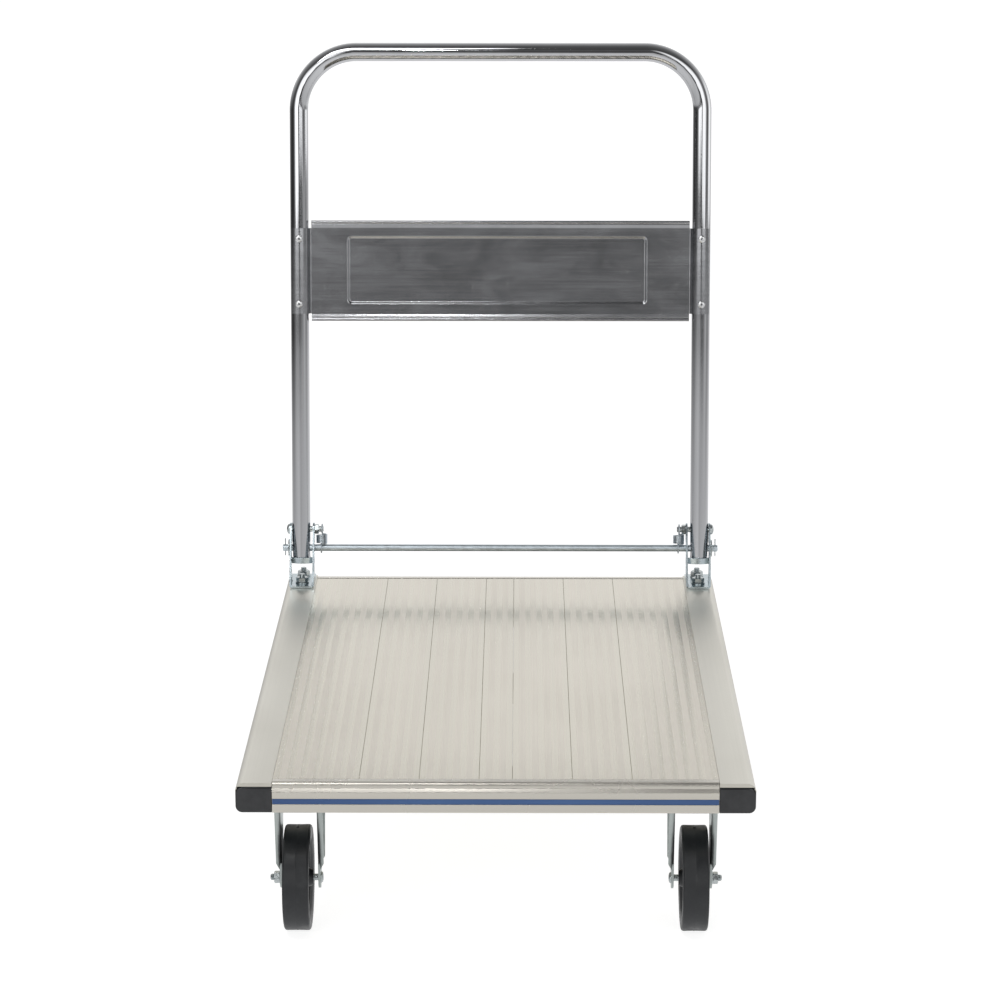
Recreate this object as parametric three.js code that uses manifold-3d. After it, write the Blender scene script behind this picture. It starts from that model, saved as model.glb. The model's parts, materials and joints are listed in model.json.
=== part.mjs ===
// Folding platform cart: an aluminium plank deck on two rigid and two swivel casters, with a chromed
// push handle that folds down onto the deck. Millimetres, +Z up, the deck's front edge towards -Y.
// Every mesh is one physical piece. Pieces are drawn with the deck's front edge at y = 0 and the floor at
// z = 0, and the whole cart is centred on the origin at the end.
import * as THREE from "three";
import { mergeVertices } from "three/addons/utils/BufferGeometryUtils.js";
import Module from "manifold-3d";

const wasm = await Module();
wasm.setup();

// ---------------------------------------------------------------- driving dimensions
const GAP = 0.3; // clearance between pieces that touch

const DECK_WIDTH = 600;
const DECK_LENGTH = 900;
const DECK_TOP = 202;
const FRAME_HEIGHT = 36.5;
const FRAME_BOTTOM = DECK_TOP - FRAME_HEIGHT;
const RAIL_WIDTH = 42.05;
const RAIL_TOP_WALL = 4.5;
const RAIL_WALL = 2;
const RAIL_CORNER_RADIUS = 8;
const STRIP_PITCH = 7.7; // the planks are counted in strips of this width
const PLANK_STRIPS = [13, 9, 9, 5, 9, 9, 13];
const PLANK_DEPTH = 15.2;
const PLANK_SKIN = 2.6;
const FRONT_LIP = 15;
const REAR_LIP = 18;
const CAP_FLANGE = 3.7;

const STRIPE_TOP = 182.8;
const STRIPE_BOTTOM = 176;

const WHEEL_RADIUS = 62.5;
const TREAD_WIDTH = 31;
const HUB_LENGTH = 36;
const FORK_CENTRE_X = 230.2;
const FORK_INNER_WIDTH = 42.4;
const FORK_SHEET = 2.75;
const FORK_FLANGE = 6.8;
const FRONT_AXLE_Y = 67;
const SWIVEL_Y = 800;
const SWIVEL_TRAIL = 36;
const WHEEL_FACETS = 36;
const AXLE_Z = WHEEL_RADIUS * Math.cos(Math.PI / WHEEL_FACETS); // the tyre stands on one of its flats

const TUBE_RADIUS = 12.7;
const TUBE_WALL = 1.6;
const TUBE_CENTRE_X = 278.6;
const TUBE_BEND_RADIUS = 80;
const HANDLE_LENGTH = 662.4; // pivot to the top tube's centre line
const HANDLE_TAIL = 45; // pivot to the tube's lower end
const HANDLE_LEAN = THREE.MathUtils.degToRad(7.5);
const PIVOT_Y = DECK_LENGTH - 28.5;
const PIVOT_Z = DECK_TOP + 75;

const ROD_RADIUS = 4.75;
const ROD_HALF_LENGTH = 304.5;
const ROD_DROP = 26.5; // pivot to the release rod, along the tube
const ROD_TRAVEL = 9;

const BRACKET_CENTRE_X = 276.9;
const BRACKET_WIDTH = 34.4;
const BRACKET_SHEET = 2.5;
const BRACKET_FRONT = PIVOT_Y - 41.5;
const BRACKET_REAR = DECK_LENGTH - 2;
const BOLT_RADIUS = 4;
const BOLT_HOLE_RADIUS = 4.4;
const BRACKET_BOLTS_Y = [DECK_LENGTH - 50, DECK_LENGTH - 15];

const SPRING_X = 249.9;
const SPRING_RADIUS = 8;

const SIDES = [
  { name: "left", sign: -1 },
  { name: "right", sign: 1 },
];

// ---------------------------------------------------------------- materials
function metal(color, roughness) {
  return new THREE.MeshStandardMaterial({ color, roughness, metalness: 1 });
}
function plastic(color, roughness) {
  return new THREE.MeshStandardMaterial({ color, roughness, metalness: 0 });
}
const deckAluminium = metal(0xc8c4b9, 0.45);
const frameAluminium = metal(0xcbc9c0, 0.35);
const zinc = metal(0xa9b2b5, 0.4);
const chrome = metal(0xd9dadc, 0.08);
const panelSteel = metal(0x6f7072, 0.4);
const rubber = plastic(0x1d1e20, 0.7);
const coreBlack = plastic(0x242527, 0.5);
const capBlack = plastic(0x2b2b2d, 0.25);
const stripeBlue = plastic(0x3f5d8a, 0.5);

// ---------------------------------------------------------------- solids
// Turns a closed geometry into a manifold solid.
function solid(geometry) {
  const plain = geometry.clone();
  plain.deleteAttribute("normal");
  plain.deleteAttribute("uv");
  const merged = mergeVertices(plain, 1e-4);
  const mesh = new wasm.Mesh({
    numProp: 3,
    vertProperties: merged.attributes.position.array,
    triVerts: new Uint32Array(merged.index.array),
  });
  return new wasm.Manifold(mesh);
}

function geometryOf(body) {
  const mesh = body.getMesh();
  const geometry = new THREE.BufferGeometry();
  geometry.setAttribute("position", new THREE.BufferAttribute(new Float32Array(mesh.vertProperties), 3));
  geometry.setIndex(new THREE.BufferAttribute(new Uint32Array(mesh.triVerts), 1));
  geometry.computeVertexNormals();
  return geometry;
}

// Joins the first list of geometries and cuts the second list out of them.
function joined(parts, cuts = []) {
  let body = parts.map(solid).reduce((a, b) => a.add(b));
  for (const cut of cuts) body = body.subtract(solid(cut));
  return geometryOf(body);
}

function box(x0, x1, y0, y1, z0, z1) {
  const geometry = new THREE.BoxGeometry(Math.abs(x1 - x0), y1 - y0, z1 - z0);
  return geometry.translate((x0 + x1) / 2, (y0 + y1) / 2, (z0 + z1) / 2);
}

// Round bar along X from x0 to x1.
function barX(radius, x0, x1, y, z, segments = 12) {
  const geometry = new THREE.CylinderGeometry(radius, radius, Math.abs(x1 - x0), segments);
  return geometry.rotateZ(Math.PI / 2).translate((x0 + x1) / 2, y, z);
}

function barZ(radius, x, y, z0, z1, segments = 12) {
  const geometry = new THREE.CylinderGeometry(radius, radius, z1 - z0, segments);
  return geometry.rotateX(Math.PI / 2).translate(x, y, (z0 + z1) / 2);
}

function polygon(points) {
  return new THREE.Shape(points.map(([u, v]) => new THREE.Vector2(u, v)));
}

function extruded(shape, depth, curveSegments = 3) {
  return new THREE.ExtrudeGeometry(shape, { depth, curveSegments, bevelEnabled: false });
}

// Outline in (y, z), extruded along X.
function alongX(shape, x0, x1, curveSegments) {
  const turn = new THREE.Matrix4().set(0, 0, 1, Math.min(x0, x1), 1, 0, 0, 0, 0, 1, 0, 0, 0, 0, 0, 1);
  return extruded(shape, Math.abs(x1 - x0), curveSegments).applyMatrix4(turn);
}

// Outline in (x, z), extruded along Y.
function alongY(shape, y0, y1, curveSegments) {
  const turn = new THREE.Matrix4().set(1, 0, 0, 0, 0, 0, -1, y1, 0, 1, 0, 0, 0, 0, 0, 1);
  return extruded(shape, y1 - y0, curveSegments).applyMatrix4(turn);
}

// Outline in (x, y), extruded along Z.
function alongZ(shape, z0, z1, curveSegments) {
  return extruded(shape, z1 - z0, curveSegments).translate(0, 0, z0);
}

// Rectangle whose corners are rounded where rounding says so: [low-low, high-low, high-high, low-high].
function roundedRectangle(u0, v0, u1, v1, radius, rounding = [1, 1, 1, 1]) {
  const [a, b, c, d] = rounding.map((r) => r * radius);
  const shape = new THREE.Shape();
  shape.moveTo(u0 + a, v0);
  shape.lineTo(u1 - b, v0);
  if (b) shape.absarc(u1 - b, v0 + b, b, -Math.PI / 2, 0);
  shape.lineTo(u1, v1 - c);
  if (c) shape.absarc(u1 - c, v1 - c, c, 0, Math.PI / 2);
  shape.lineTo(u0 + d, v1);
  if (d) shape.absarc(u0 + d, v1 - d, d, Math.PI / 2, Math.PI);
  shape.lineTo(u0, v0 + a);
  if (a) shape.absarc(u0 + a, v0 + a, a, Math.PI, 1.5 * Math.PI);
  return shape;
}

// Solid of revolution about the X axis through (x, y, z). The profile is a closed list of [radius, offset].
function turnedX(profile, x, y, z, segments) {
  const points = [...profile, profile[0]].map(([r, offset]) => new THREE.Vector2(r, offset));
  const geometry = new THREE.LatheGeometry(points, segments, Math.PI / segments);
  return geometry.rotateZ(-Math.PI / 2).translate(x, y, z);
}

function turnedZ(profile, x, y, segments) {
  const points = [...profile, profile[0]].map(([r, z]) => new THREE.Vector2(r, z));
  return new THREE.LatheGeometry(points, segments).rotateX(Math.PI / 2).translate(x, y, 0);
}

const cart = new THREE.Group();
const handle = new THREE.Group(); // drawn with the pivot at its origin and the tubes along Z
handle.position.set(0, PIVOT_Y, PIVOT_Z);
handle.rotation.x = -HANDLE_LEAN;
cart.add(handle);

function add(name, geometry, material, parent = cart) {
  const mesh = new THREE.Mesh(geometry, material);
  mesh.name = name;
  parent.add(mesh);
}

// ---------------------------------------------------------------- deck
// An extruded plank: a flat skin on legs, one at each edge and more between them.
function plankShape(width) {
  const top = DECK_TOP;
  const bottom = DECK_TOP - PLANK_DEPTH;
  const leg = 2;
  const chamfer = 0.5;
  const legs = Math.max(2, Math.round(width / (3 * STRIP_PITCH)) + 1);
  const points = [
    [width / 2, bottom],
    [width / 2, top - chamfer],
    [width / 2 - chamfer, top],
    [-width / 2 + chamfer, top],
    [-width / 2, top - chamfer],
  ];
  for (let i = 0; i < legs; i++) {
    const x = -width / 2 + (i * (width - leg)) / (legs - 1);
    if (i > 0) points.push([x, top - PLANK_SKIN]);
    points.push([x, bottom], [x + leg, bottom]);
    if (i < legs - 1) points.push([x + leg, top - PLANK_SKIN]);
  }
  points.pop(); // the last leg closes on the first point
  return polygon(points);
}

function addPlanks() {
  const strips = PLANK_STRIPS.reduce((a, b) => a + b);
  let edge = (-strips * STRIP_PITCH) / 2;
  PLANK_STRIPS.forEach((count, i) => {
    const width = count * STRIP_PITCH;
    const plank = alongY(plankShape(width - GAP), FRONT_LIP + GAP, DECK_LENGTH - REAR_LIP - GAP);
    add(`deck_plank_${i + 1}`, plank.translate(edge + width / 2, 0, 0), deckAluminium);
    edge += width;
  });
}

const RAIL_INNER_X = DECK_WIDTH / 2 - RAIL_WIDTH;
const RAIL_NOTCH = CAP_FLANGE + GAP;
const CAP_TOP = DECK_TOP - RAIL_TOP_WALL - GAP;

// Hollow rail, cut back at each end so that only its top wall runs out over the corner cap.
function addRail({ name, sign }) {
  const [x0, x1] = [sign * RAIL_INNER_X, (sign * DECK_WIDTH) / 2].sort((a, b) => a - b);
  const rounding = sign > 0 ? [0, 1, 1, 0] : [1, 0, 0, 1];
  const outline = roundedRectangle(x0, FRAME_BOTTOM, x1, DECK_TOP, RAIL_CORNER_RADIUS, rounding);
  const inner = box(
    x0 + RAIL_WALL, x1 - RAIL_WALL, -1, DECK_LENGTH + 1, FRAME_BOTTOM + RAIL_WALL, DECK_TOP - RAIL_TOP_WALL,
  );
  const notchTop = DECK_TOP - RAIL_TOP_WALL;
  const notches = [-1, DECK_LENGTH - RAIL_NOTCH].map((y) =>
    box(x0 - 1, x1 + 1, y, y + RAIL_NOTCH + 1, FRAME_BOTTOM - 1, notchTop),
  );
  const holes = BRACKET_BOLTS_Y.map((y) =>
    barZ(BOLT_HOLE_RADIUS, sign * BRACKET_CENTRE_X, y, DECK_TOP - 2 * RAIL_TOP_WALL, DECK_TOP + 1),
  );
  const rail = joined([alongY(outline, 0, DECK_LENGTH)], [inner, ...notches, ...holes]);
  add(`side_rail_${name}`, rail, frameAluminium);
}

// Plug-in cap: a flange over the rail's end with a spigot inside the rail.
function addCorner({ name, sign }, end) {
  const [x0, x1] = [sign * RAIL_INNER_X, (sign * DECK_WIDTH) / 2].sort((a, b) => a - b);
  const rounding = sign > 0 ? [0, 1, 1, 0] : [1, 0, 0, 1];
  const flange = roundedRectangle(x0, FRAME_BOTTOM, x1, CAP_TOP, RAIL_CORNER_RADIUS, rounding);
  const inset = RAIL_WALL + 1;
  const spigotLength = 4;
  const front = end === "front";
  const [flangeY, spigotY] = front
    ? [0, CAP_FLANGE]
    : [DECK_LENGTH - CAP_FLANGE, DECK_LENGTH - CAP_FLANGE - spigotLength];
  const parts = [
    alongY(flange, flangeY, flangeY + CAP_FLANGE),
    box(x0 + inset, x1 - inset, spigotY - (front ? 1 : 0), spigotY + spigotLength + (front ? 0 : 1),
      FRAME_BOTTOM + inset, CAP_TOP - 1),
  ];
  add(`corner_cap_${end}_${name}`, joined(parts), capBlack);
}

// End profile across the deck: a rounded nose over a bevel, a recess for the stripe, a ledge for the planks.
function endProfile(lip) {
  const noseRadius = 4.5;
  const noseY = 2.5;
  const bevelTop = 194.5;
  const bevelBottom = 190.5;
  const recess = 0.8;
  const ledgeTop = DECK_TOP - PLANK_DEPTH - GAP;
  const ledgeBottom = ledgeTop - 3;
  const shape = new THREE.Shape();
  shape.moveTo(lip, DECK_TOP);
  shape.lineTo(noseY + noseRadius, DECK_TOP);
  shape.absarc(noseY + noseRadius, DECK_TOP - noseRadius, noseRadius, Math.PI / 2, Math.PI);
  const outline = [
    [noseY, bevelTop], [0, bevelBottom],
    [0, STRIPE_TOP], [recess, STRIPE_TOP], [recess, STRIPE_BOTTOM], [0, STRIPE_BOTTOM],
    [0, FRAME_BOTTOM + 1.5], [1.5, FRAME_BOTTOM],
    [20, FRAME_BOTTOM], [20, FRAME_BOTTOM + 2.5], [3.5, FRAME_BOTTOM + 2.5],
    [3.5, ledgeBottom], [30, ledgeBottom], [30, ledgeTop],
    [5.7, ledgeTop], [5.7, DECK_TOP - 3], [lip, DECK_TOP - 3],
  ];
  for (const [y, z] of outline) shape.lineTo(y, z);
  const halfWidth = RAIL_INNER_X - GAP;
  return alongX(shape, -halfWidth, halfWidth);
}

function addEndProfiles() {
  add("front_profile", endProfile(FRONT_LIP), frameAluminium);
  const rear = endProfile(REAR_LIP).rotateZ(Math.PI).translate(0, DECK_LENGTH, 0);
  add("rear_profile", rear, frameAluminium);
  const halfWidth = RAIL_INNER_X - 2 * GAP;
  const stripe = box(-halfWidth, halfWidth, 0.1, 0.5, STRIPE_BOTTOM + GAP, STRIPE_TOP - GAP);
  add("front_stripe", stripe, stripeBlue);
}

// Inverted channels under the planks; the casters bolt to the front and rear ones.
function addCrossMembers() {
  const wall = 2.5;
  const top = DECK_TOP - PLANK_DEPTH - GAP;
  const halfWidth = RAIL_INNER_X - GAP;
  const places = { front: [40, 110], middle: [415, 485], rear: [765, 835] };
  for (const [name, [y0, y1]] of Object.entries(places)) {
    const channel = polygon([
      [y0, FRAME_BOTTOM], [y0 + wall, FRAME_BOTTOM], [y0 + wall, top - wall], [y1 - wall, top - wall],
      [y1 - wall, FRAME_BOTTOM], [y1, FRAME_BOTTOM], [y1, top], [y0, top],
    ]);
    add(`cross_member_${name}`, alongX(channel, -halfWidth, halfWidth), frameAluminium);
  }
}

// ---------------------------------------------------------------- hinge brackets
const PLATE_BOTTOM = DECK_TOP + GAP;
const PLATE_TOP = PLATE_BOTTOM + BRACKET_SHEET;
const EAR_OUTER = BRACKET_CENTRE_X + BRACKET_WIDTH / 2;
const EAR_INNER = BRACKET_CENTRE_X - BRACKET_WIDTH / 2;

// Curved strap in front of the tube's lower end. It stops the handle leaning back any further.
const STRAP_Z0 = DECK_TOP + 30;
const STRAP_Z1 = DECK_TOP + 38.5;
const STRAP_RADIUS = 30;
const STRAP_SHEET = 2.5;
const STRAP_OVERHANG = 0.4; // past the ears' outer faces, short of the rod's washers
function strapBand(clearance) {
  const middleZ = (STRAP_Z0 + STRAP_Z1) / 2;
  const tubeFront =
    PIVOT_Y - (PIVOT_Z - STRAP_Z0) * Math.tan(HANDLE_LEAN) - TUBE_RADIUS / Math.cos(HANDLE_LEAN);
  const inner = STRAP_RADIUS - clearance;
  const outer = STRAP_RADIUS + STRAP_SHEET + clearance;
  const halfWidth = BRACKET_WIDTH / 2 + STRAP_OVERHANG + clearance;
  const halfAngle = Math.asin(halfWidth / (STRAP_RADIUS + STRAP_SHEET));
  const shape = new THREE.Shape();
  shape.absarc(0, 0, outer, -Math.PI / 2 - halfAngle, -Math.PI / 2 + halfAngle);
  shape.absarc(0, 0, inner, -Math.PI / 2 + halfAngle, -Math.PI / 2 - halfAngle, true);
  const halfHeight = (STRAP_Z1 - STRAP_Z0) / 2 + clearance;
  const band = alongZ(shape, middleZ - halfHeight, middleZ + halfHeight, 5);
  return band.translate(0, tubeFront - GAP + STRAP_RADIUS, 0);
}

// Side view of an ear: a leaning post up to the pivot, open behind it where the release rod swings.
function earShape() {
  const boss = 8.8;
  const postRear = PIVOT_Y - 11;
  const shape = new THREE.Shape();
  shape.moveTo(PIVOT_Y - 39, PLATE_BOTTOM);
  shape.lineTo(postRear, PLATE_BOTTOM);
  shape.lineTo(postRear, PIVOT_Z - 18);
  shape.lineTo(PIVOT_Y + 3, PIVOT_Z - 18);
  shape.absarc(PIVOT_Y, PIVOT_Z, boss, -0.3, 0.8 * Math.PI);
  return shape;
}

function addBracket({ name, sign }) {
  const centre = sign * BRACKET_CENTRE_X;
  const plate = roundedRectangle(
    centre - BRACKET_WIDTH / 2, BRACKET_FRONT, centre + BRACKET_WIDTH / 2, BRACKET_REAR, 5,
  );
  const ears = [EAR_OUTER, EAR_INNER + BRACKET_SHEET].map((x) =>
    alongX(earShape(), sign * x, sign * (x - BRACKET_SHEET), 4),
  );
  const holes = BRACKET_BOLTS_Y.map((y) => barZ(BOLT_HOLE_RADIUS, centre, y, DECK_TOP - 1, PLATE_TOP + 1));
  const bore = barX(BOLT_HOLE_RADIUS, sign * (EAR_INNER - 1), sign * (EAR_OUTER + 1), PIVOT_Y, PIVOT_Z);
  const slots = strapBand(GAP).translate(centre, 0, 0);
  const parts = [alongZ(plate, PLATE_BOTTOM, PLATE_TOP, 2), ...ears];
  add(`bracket_${name}`, joined(parts, [...holes, bore, slots]), zinc);
  add(`stop_strap_${name}`, strapBand(0).translate(centre, 0, 0), zinc);
}

// Bolt up through the rail and the bracket's plate, with its washer and hexagon nut on top.
function addBracketBolts({ name, sign }) {
  const x = sign * BRACKET_CENTRE_X;
  const headTop = DECK_TOP - RAIL_TOP_WALL - GAP;
  const washerBottom = PLATE_TOP + GAP;
  const nutBottom = washerBottom + 1.5;
  const nutTop = nutBottom + 6.5;
  BRACKET_BOLTS_Y.forEach((y, i) => {
    const parts = [
      barZ(6, x, y, headTop - 3, headTop),
      barZ(BOLT_RADIUS, x, y, headTop - 2, nutTop + 4.5),
      barZ(8.5, x, y, washerBottom, nutBottom),
      barZ(7.5, x, y, nutBottom - 0.2, nutTop, 6),
    ];
    add(`bracket_bolt_${i === 0 ? "front" : "rear"}_${name}`, joined(parts), zinc);
  });
}

// Pivot bolt through both ears and the tube: domed head outside, nut and plain end towards the middle.
function addPivotBolt({ name, sign }) {
  const head = EAR_OUTER + GAP;
  const nut = EAR_INNER - GAP;
  const parts = [
    barX(BOLT_RADIUS, sign * (SPRING_X - 2.5), sign * (head + 2), PIVOT_Y, PIVOT_Z),
    barX(7.2, sign * head, sign * (head + 3), PIVOT_Y, PIVOT_Z),
    barX(5, sign * (head + 2.9), sign * (head + 5), PIVOT_Y, PIVOT_Z),
    barX(6.5, sign * nut, sign * (nut - 5.5), PIVOT_Y, PIVOT_Z, 6),
  ];
  add(`pivot_bolt_${name}`, joined(parts), zinc);
}

// ---------------------------------------------------------------- folding handle
// A curve that is sampled only at its own stations, so straight stretches stay in one piece.
class StationCurve extends THREE.Curve {
  constructor(stations) {
    super();
    this.stations = stations;
  }
  station(t) {
    return this.stations[Math.round(t * (this.stations.length - 1))];
  }
  getPoint(t) {
    return this.station(t).point.clone();
  }
  getPointAt(t) {
    return this.getPoint(t);
  }
  getTangentAt(t) {
    return this.station(t).tangent.clone();
  }
}

// Stations along the U: up the left tube, over the two bends and down the right tube.
function handleStations() {
  const bendSteps = 7;
  const bendZ = HANDLE_LENGTH - TUBE_BEND_RADIUS;
  const bendX = TUBE_CENTRE_X - TUBE_BEND_RADIUS;
  const stations = [];
  const station = (x, z, angle) =>
    stations.push({
      point: new THREE.Vector3(x, 0, z),
      tangent: new THREE.Vector3(Math.cos(angle), 0, Math.sin(angle)),
    });
  station(-TUBE_CENTRE_X, -HANDLE_TAIL, Math.PI / 2);
  for (const side of [-1, 1])
    for (let i = 0; i <= bendSteps; i++) {
      const start = side < 0 ? Math.PI : Math.PI / 2;
      const angle = start - (i / bendSteps) * (Math.PI / 2);
      const x = side * bendX + TUBE_BEND_RADIUS * Math.cos(angle);
      station(x, bendZ + TUBE_BEND_RADIUS * Math.sin(angle), angle - Math.PI / 2);
    }
  station(TUBE_CENTRE_X, -HANDLE_TAIL, -Math.PI / 2);
  return stations;
}

const RIVET_Z = [315.8, 406.1];
const RIVET_SHANK = 2;

function rivetHoles() {
  return SIDES.flatMap(({ sign }) =>
    RIVET_Z.map((z) => {
      const hole = new THREE.CylinderGeometry(RIVET_SHANK + GAP, RIVET_SHANK + GAP, 12, 12);
      return hole.translate(sign * TUBE_CENTRE_X, -TUBE_RADIUS, z);
    }),
  );
}

function addHandleTube() {
  const stations = handleStations();
  const section = new THREE.Shape().absarc(0, 0, TUBE_RADIUS, 0, 2 * Math.PI);
  section.holes.push(new THREE.Path().absarc(0, 0, TUBE_RADIUS - TUBE_WALL, 0, 2 * Math.PI, true));
  const tube = new THREE.ExtrudeGeometry(section, {
    extrudePath: new StationCurve(stations),
    steps: stations.length - 1,
    curveSegments: 11,
  });
  const slotHalfWidth = ROD_RADIUS + GAP;
  const cuts = rivetHoles();
  for (const { sign } of SIDES) {
    const [x0, x1] = [sign * (TUBE_CENTRE_X - 20), sign * (TUBE_CENTRE_X + 20)];
    cuts.push(barX(BOLT_HOLE_RADIUS + 0.2, x0, x1, 0, 0));
    cuts.push(box(x0, x1, -slotHalfWidth, slotHalfWidth,
      -ROD_DROP - ROD_TRAVEL - slotHalfWidth, -ROD_DROP + slotHalfWidth));
  }
  add("handle_tube", joined([tube], cuts), chrome, handle);
}

// Sheet panel between the tubes: a pressed field, a hem along each long edge, ends wrapped round the tubes.
const PANEL_Z0 = 291.5;
const PANEL_Z1 = 430.9;
const WRAP_Z0 = 302.1;
const WRAP_Z1 = 420.4;
const PANEL_SHEET = 1.2;
const PANEL_FRONT_Y = -1.6;
const HEM_HEIGHT = 10.5;
const HEM_FOLD = 1.6; // how far a hem stands proud of each face of the sheet
const FIELD_CENTRE_X = -4.5;
const FIELD_HALF_WIDTH = 208.5;
const FIELD_Z0 = 314.6;
const FIELD_Z1 = 410;
const FIELD_DEPTH = 2;
const WRAP_INNER_RADIUS = TUBE_RADIUS + GAP;

// The field as a block that narrows both ways from the sheet's front face. Moved back by the sheet's
// thickness it is the dish behind the sheet, and in place it cuts the hollow in front.
function pressedField() {
  const bevel = 4.5;
  const shape = roundedRectangle(
    bevel - FIELD_HALF_WIDTH, FIELD_Z0 + bevel, FIELD_HALF_WIDTH - bevel, FIELD_Z1 - bevel, 2,
  );
  const block = new THREE.ExtrudeGeometry(shape, {
    depth: 0.01, bevelThickness: FIELD_DEPTH, bevelSize: bevel, bevelSegments: 1, curveSegments: 2,
  });
  return block.rotateX(Math.PI / 2).translate(FIELD_CENTRE_X, PANEL_FRONT_Y, 0);
}

function wrapShape(sign) {
  const outer = WRAP_INNER_RADIUS + PANEL_SHEET;
  const start = sign > 0 ? Math.PI : 2 * Math.PI;
  const end = start + sign * 0.78 * Math.PI;
  const shape = new THREE.Shape();
  shape.absarc(sign * TUBE_CENTRE_X, 0, outer, start, end, sign < 0);
  shape.absarc(sign * TUBE_CENTRE_X, 0, WRAP_INNER_RADIUS, end, start, sign > 0);
  return shape;
}

function addPanel() {
  const back = PANEL_FRONT_Y + PANEL_SHEET;
  const halfWidth = TUBE_CENTRE_X - WRAP_INNER_RADIUS - 0.4;
  const hemHalfWidth = halfWidth - 3;
  const [hemFront, hemBack] = [PANEL_FRONT_Y - HEM_FOLD, back + HEM_FOLD];
  const overlap = 0.5; // of each hem on the sheet
  const parts = [
    box(-halfWidth, halfWidth, PANEL_FRONT_Y, back, WRAP_Z0, WRAP_Z1),
    box(-hemHalfWidth, hemHalfWidth, hemFront, hemBack, PANEL_Z0, PANEL_Z0 + HEM_HEIGHT + overlap),
    box(-hemHalfWidth, hemHalfWidth, hemFront, hemBack, PANEL_Z1 - HEM_HEIGHT - overlap, PANEL_Z1),
    pressedField().translate(0, PANEL_SHEET, 0),
    ...SIDES.map(({ sign }) => alongZ(wrapShape(sign), WRAP_Z0, WRAP_Z1, 5)),
  ];
  add("handle_panel", joined(parts, [pressedField(), ...rivetHoles()]), panelSteel, handle);
}

function addRivets({ name, sign }) {
  const seat = -(WRAP_INNER_RADIUS + PANEL_SHEET + GAP);
  RIVET_Z.forEach((z, i) => {
    const profile = [[0, seat - 2.6], [2.5, seat - 2.6], [5, seat - 1], [5, seat], [RIVET_SHANK, seat],
      [RIVET_SHANK, seat + 6], [0, seat + 6]];
    const points = profile.map(([r, y]) => new THREE.Vector2(r, y));
    const rivet = new THREE.LatheGeometry(points, 12).translate(sign * TUBE_CENTRE_X, 0, z);
    add(`panel_rivet_${i === 0 ? "lower" : "upper"}_${name}`, rivet, chrome, handle);
  });
}

// ---------------------------------------------------------------- release rod and its springs
function addReleaseRod() {
  const rod = barX(ROD_RADIUS, -ROD_HALF_LENGTH, ROD_HALF_LENGTH, 0, -ROD_DROP, 16);
  const pinHoles = SIDES.map(({ sign }) =>
    barZ(1.5, sign * (ROD_HALF_LENGTH - 3.5), 0, -ROD_DROP - 10, -ROD_DROP + 10, 10),
  );
  add("release_rod", joined([rod], pinHoles), zinc, handle);
}

function addRodWasher({ name, sign }) {
  const x0 = EAR_OUTER + 0.8;
  const bore = ROD_RADIUS + GAP;
  const washer = turnedX([[bore, 0], [12, 0], [12, 1.6], [bore, 1.6]], 0, 0, 0, 20);
  const place = sign > 0 ? x0 : -x0 - 1.6;
  add(`rod_washer_${name}`, washer.translate(place, 0, -ROD_DROP), zinc, handle);
}

// Extension spring, drawn as its coil's outer shape with an eye round the pivot bolt and one round the rod.
function addSpring({ name, sign }) {
  const x = sign * SPRING_X;
  const [x0, x1] = [x - 1.2, x + 1.2];
  const coilTop = -7;
  const coilBottom = -ROD_DROP + 7.5;
  const parts = [
    barZ(SPRING_RADIUS, x, 0, coilBottom, coilTop, 14),
    barX(8.8, x0, x1, 0, 0),
    barX(8.3, x0, x1, 0, -ROD_DROP),
  ];
  const eyes = [
    barX(BOLT_RADIUS + GAP, x - 9, x + 9, 0, 0),
    barX(ROD_RADIUS + GAP, x - 9, x + 9, 0, -ROD_DROP, 16),
  ];
  add(`return_spring_${name}`, joined(parts, eyes), zinc, handle);
}

// ---------------------------------------------------------------- casters
const FORK_INNER_HALF = FORK_INNER_WIDTH / 2;
const PLATE_TOP_Z = FRAME_BOTTOM - GAP;
const CASTER_PLATE = 3;
const PLATE_BOTTOM_Z = PLATE_TOP_Z - CASTER_PLATE;
const HUB_CENTRE_X = FORK_CENTRE_X + FORK_INNER_HALF - GAP - HUB_LENGTH / 2;

// One fork leg with its two outward flanges. top and foot are [y, z]; the foot is rounded about the axle.
function forkLeg(x, outward, top, topHalf, foot) {
  const footRadius = 12.5;
  const flangeEnd = foot[1] + 18;
  const footHalf = 14;
  const shape = new THREE.Shape();
  shape.moveTo(top[0] + topHalf, top[1]);
  shape.lineTo(top[0] - topHalf, top[1]);
  shape.lineTo(foot[0] - footHalf, flangeEnd);
  shape.absarc(foot[0], foot[1], footRadius, Math.PI, 2 * Math.PI);
  shape.lineTo(foot[0] + footHalf, flangeEnd);
  const leg = alongX(shape, x, x + outward * FORK_SHEET, 4);
  const flanges = [-1, 1].map((side) => {
    const outline = polygon([
      [x, flangeEnd - 4], [x + outward * FORK_SHEET, flangeEnd - 4],
      [x + outward * FORK_FLANGE, flangeEnd + 5], [x + outward * FORK_FLANGE, top[1]], [x, top[1]],
    ]);
    const slope = (top[0] + side * topHalf - foot[0] - side * footHalf) / (top[1] - flangeEnd);
    const edge = foot[0] + side * footHalf - slope * flangeEnd;
    const [y0, y1] = side < 0 ? [edge, edge + FORK_SHEET] : [edge - FORK_SHEET, edge];
    const shear = new THREE.Matrix4().makeShear(0, 0, 0, 0, 0, slope);
    return alongY(outline, y0, y1).applyMatrix4(shear);
  });
  return [leg, ...flanges];
}

function forkLegs(centre, top, topHalf, foot) {
  return [-1, 1].flatMap((side) => forkLeg(centre + side * FORK_INNER_HALF, side, top, topHalf, foot));
}

function axleHole(centre, y) {
  return barX(BOLT_HOLE_RADIUS, centre - 40, centre + 40, y, AXLE_Z);
}

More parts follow.
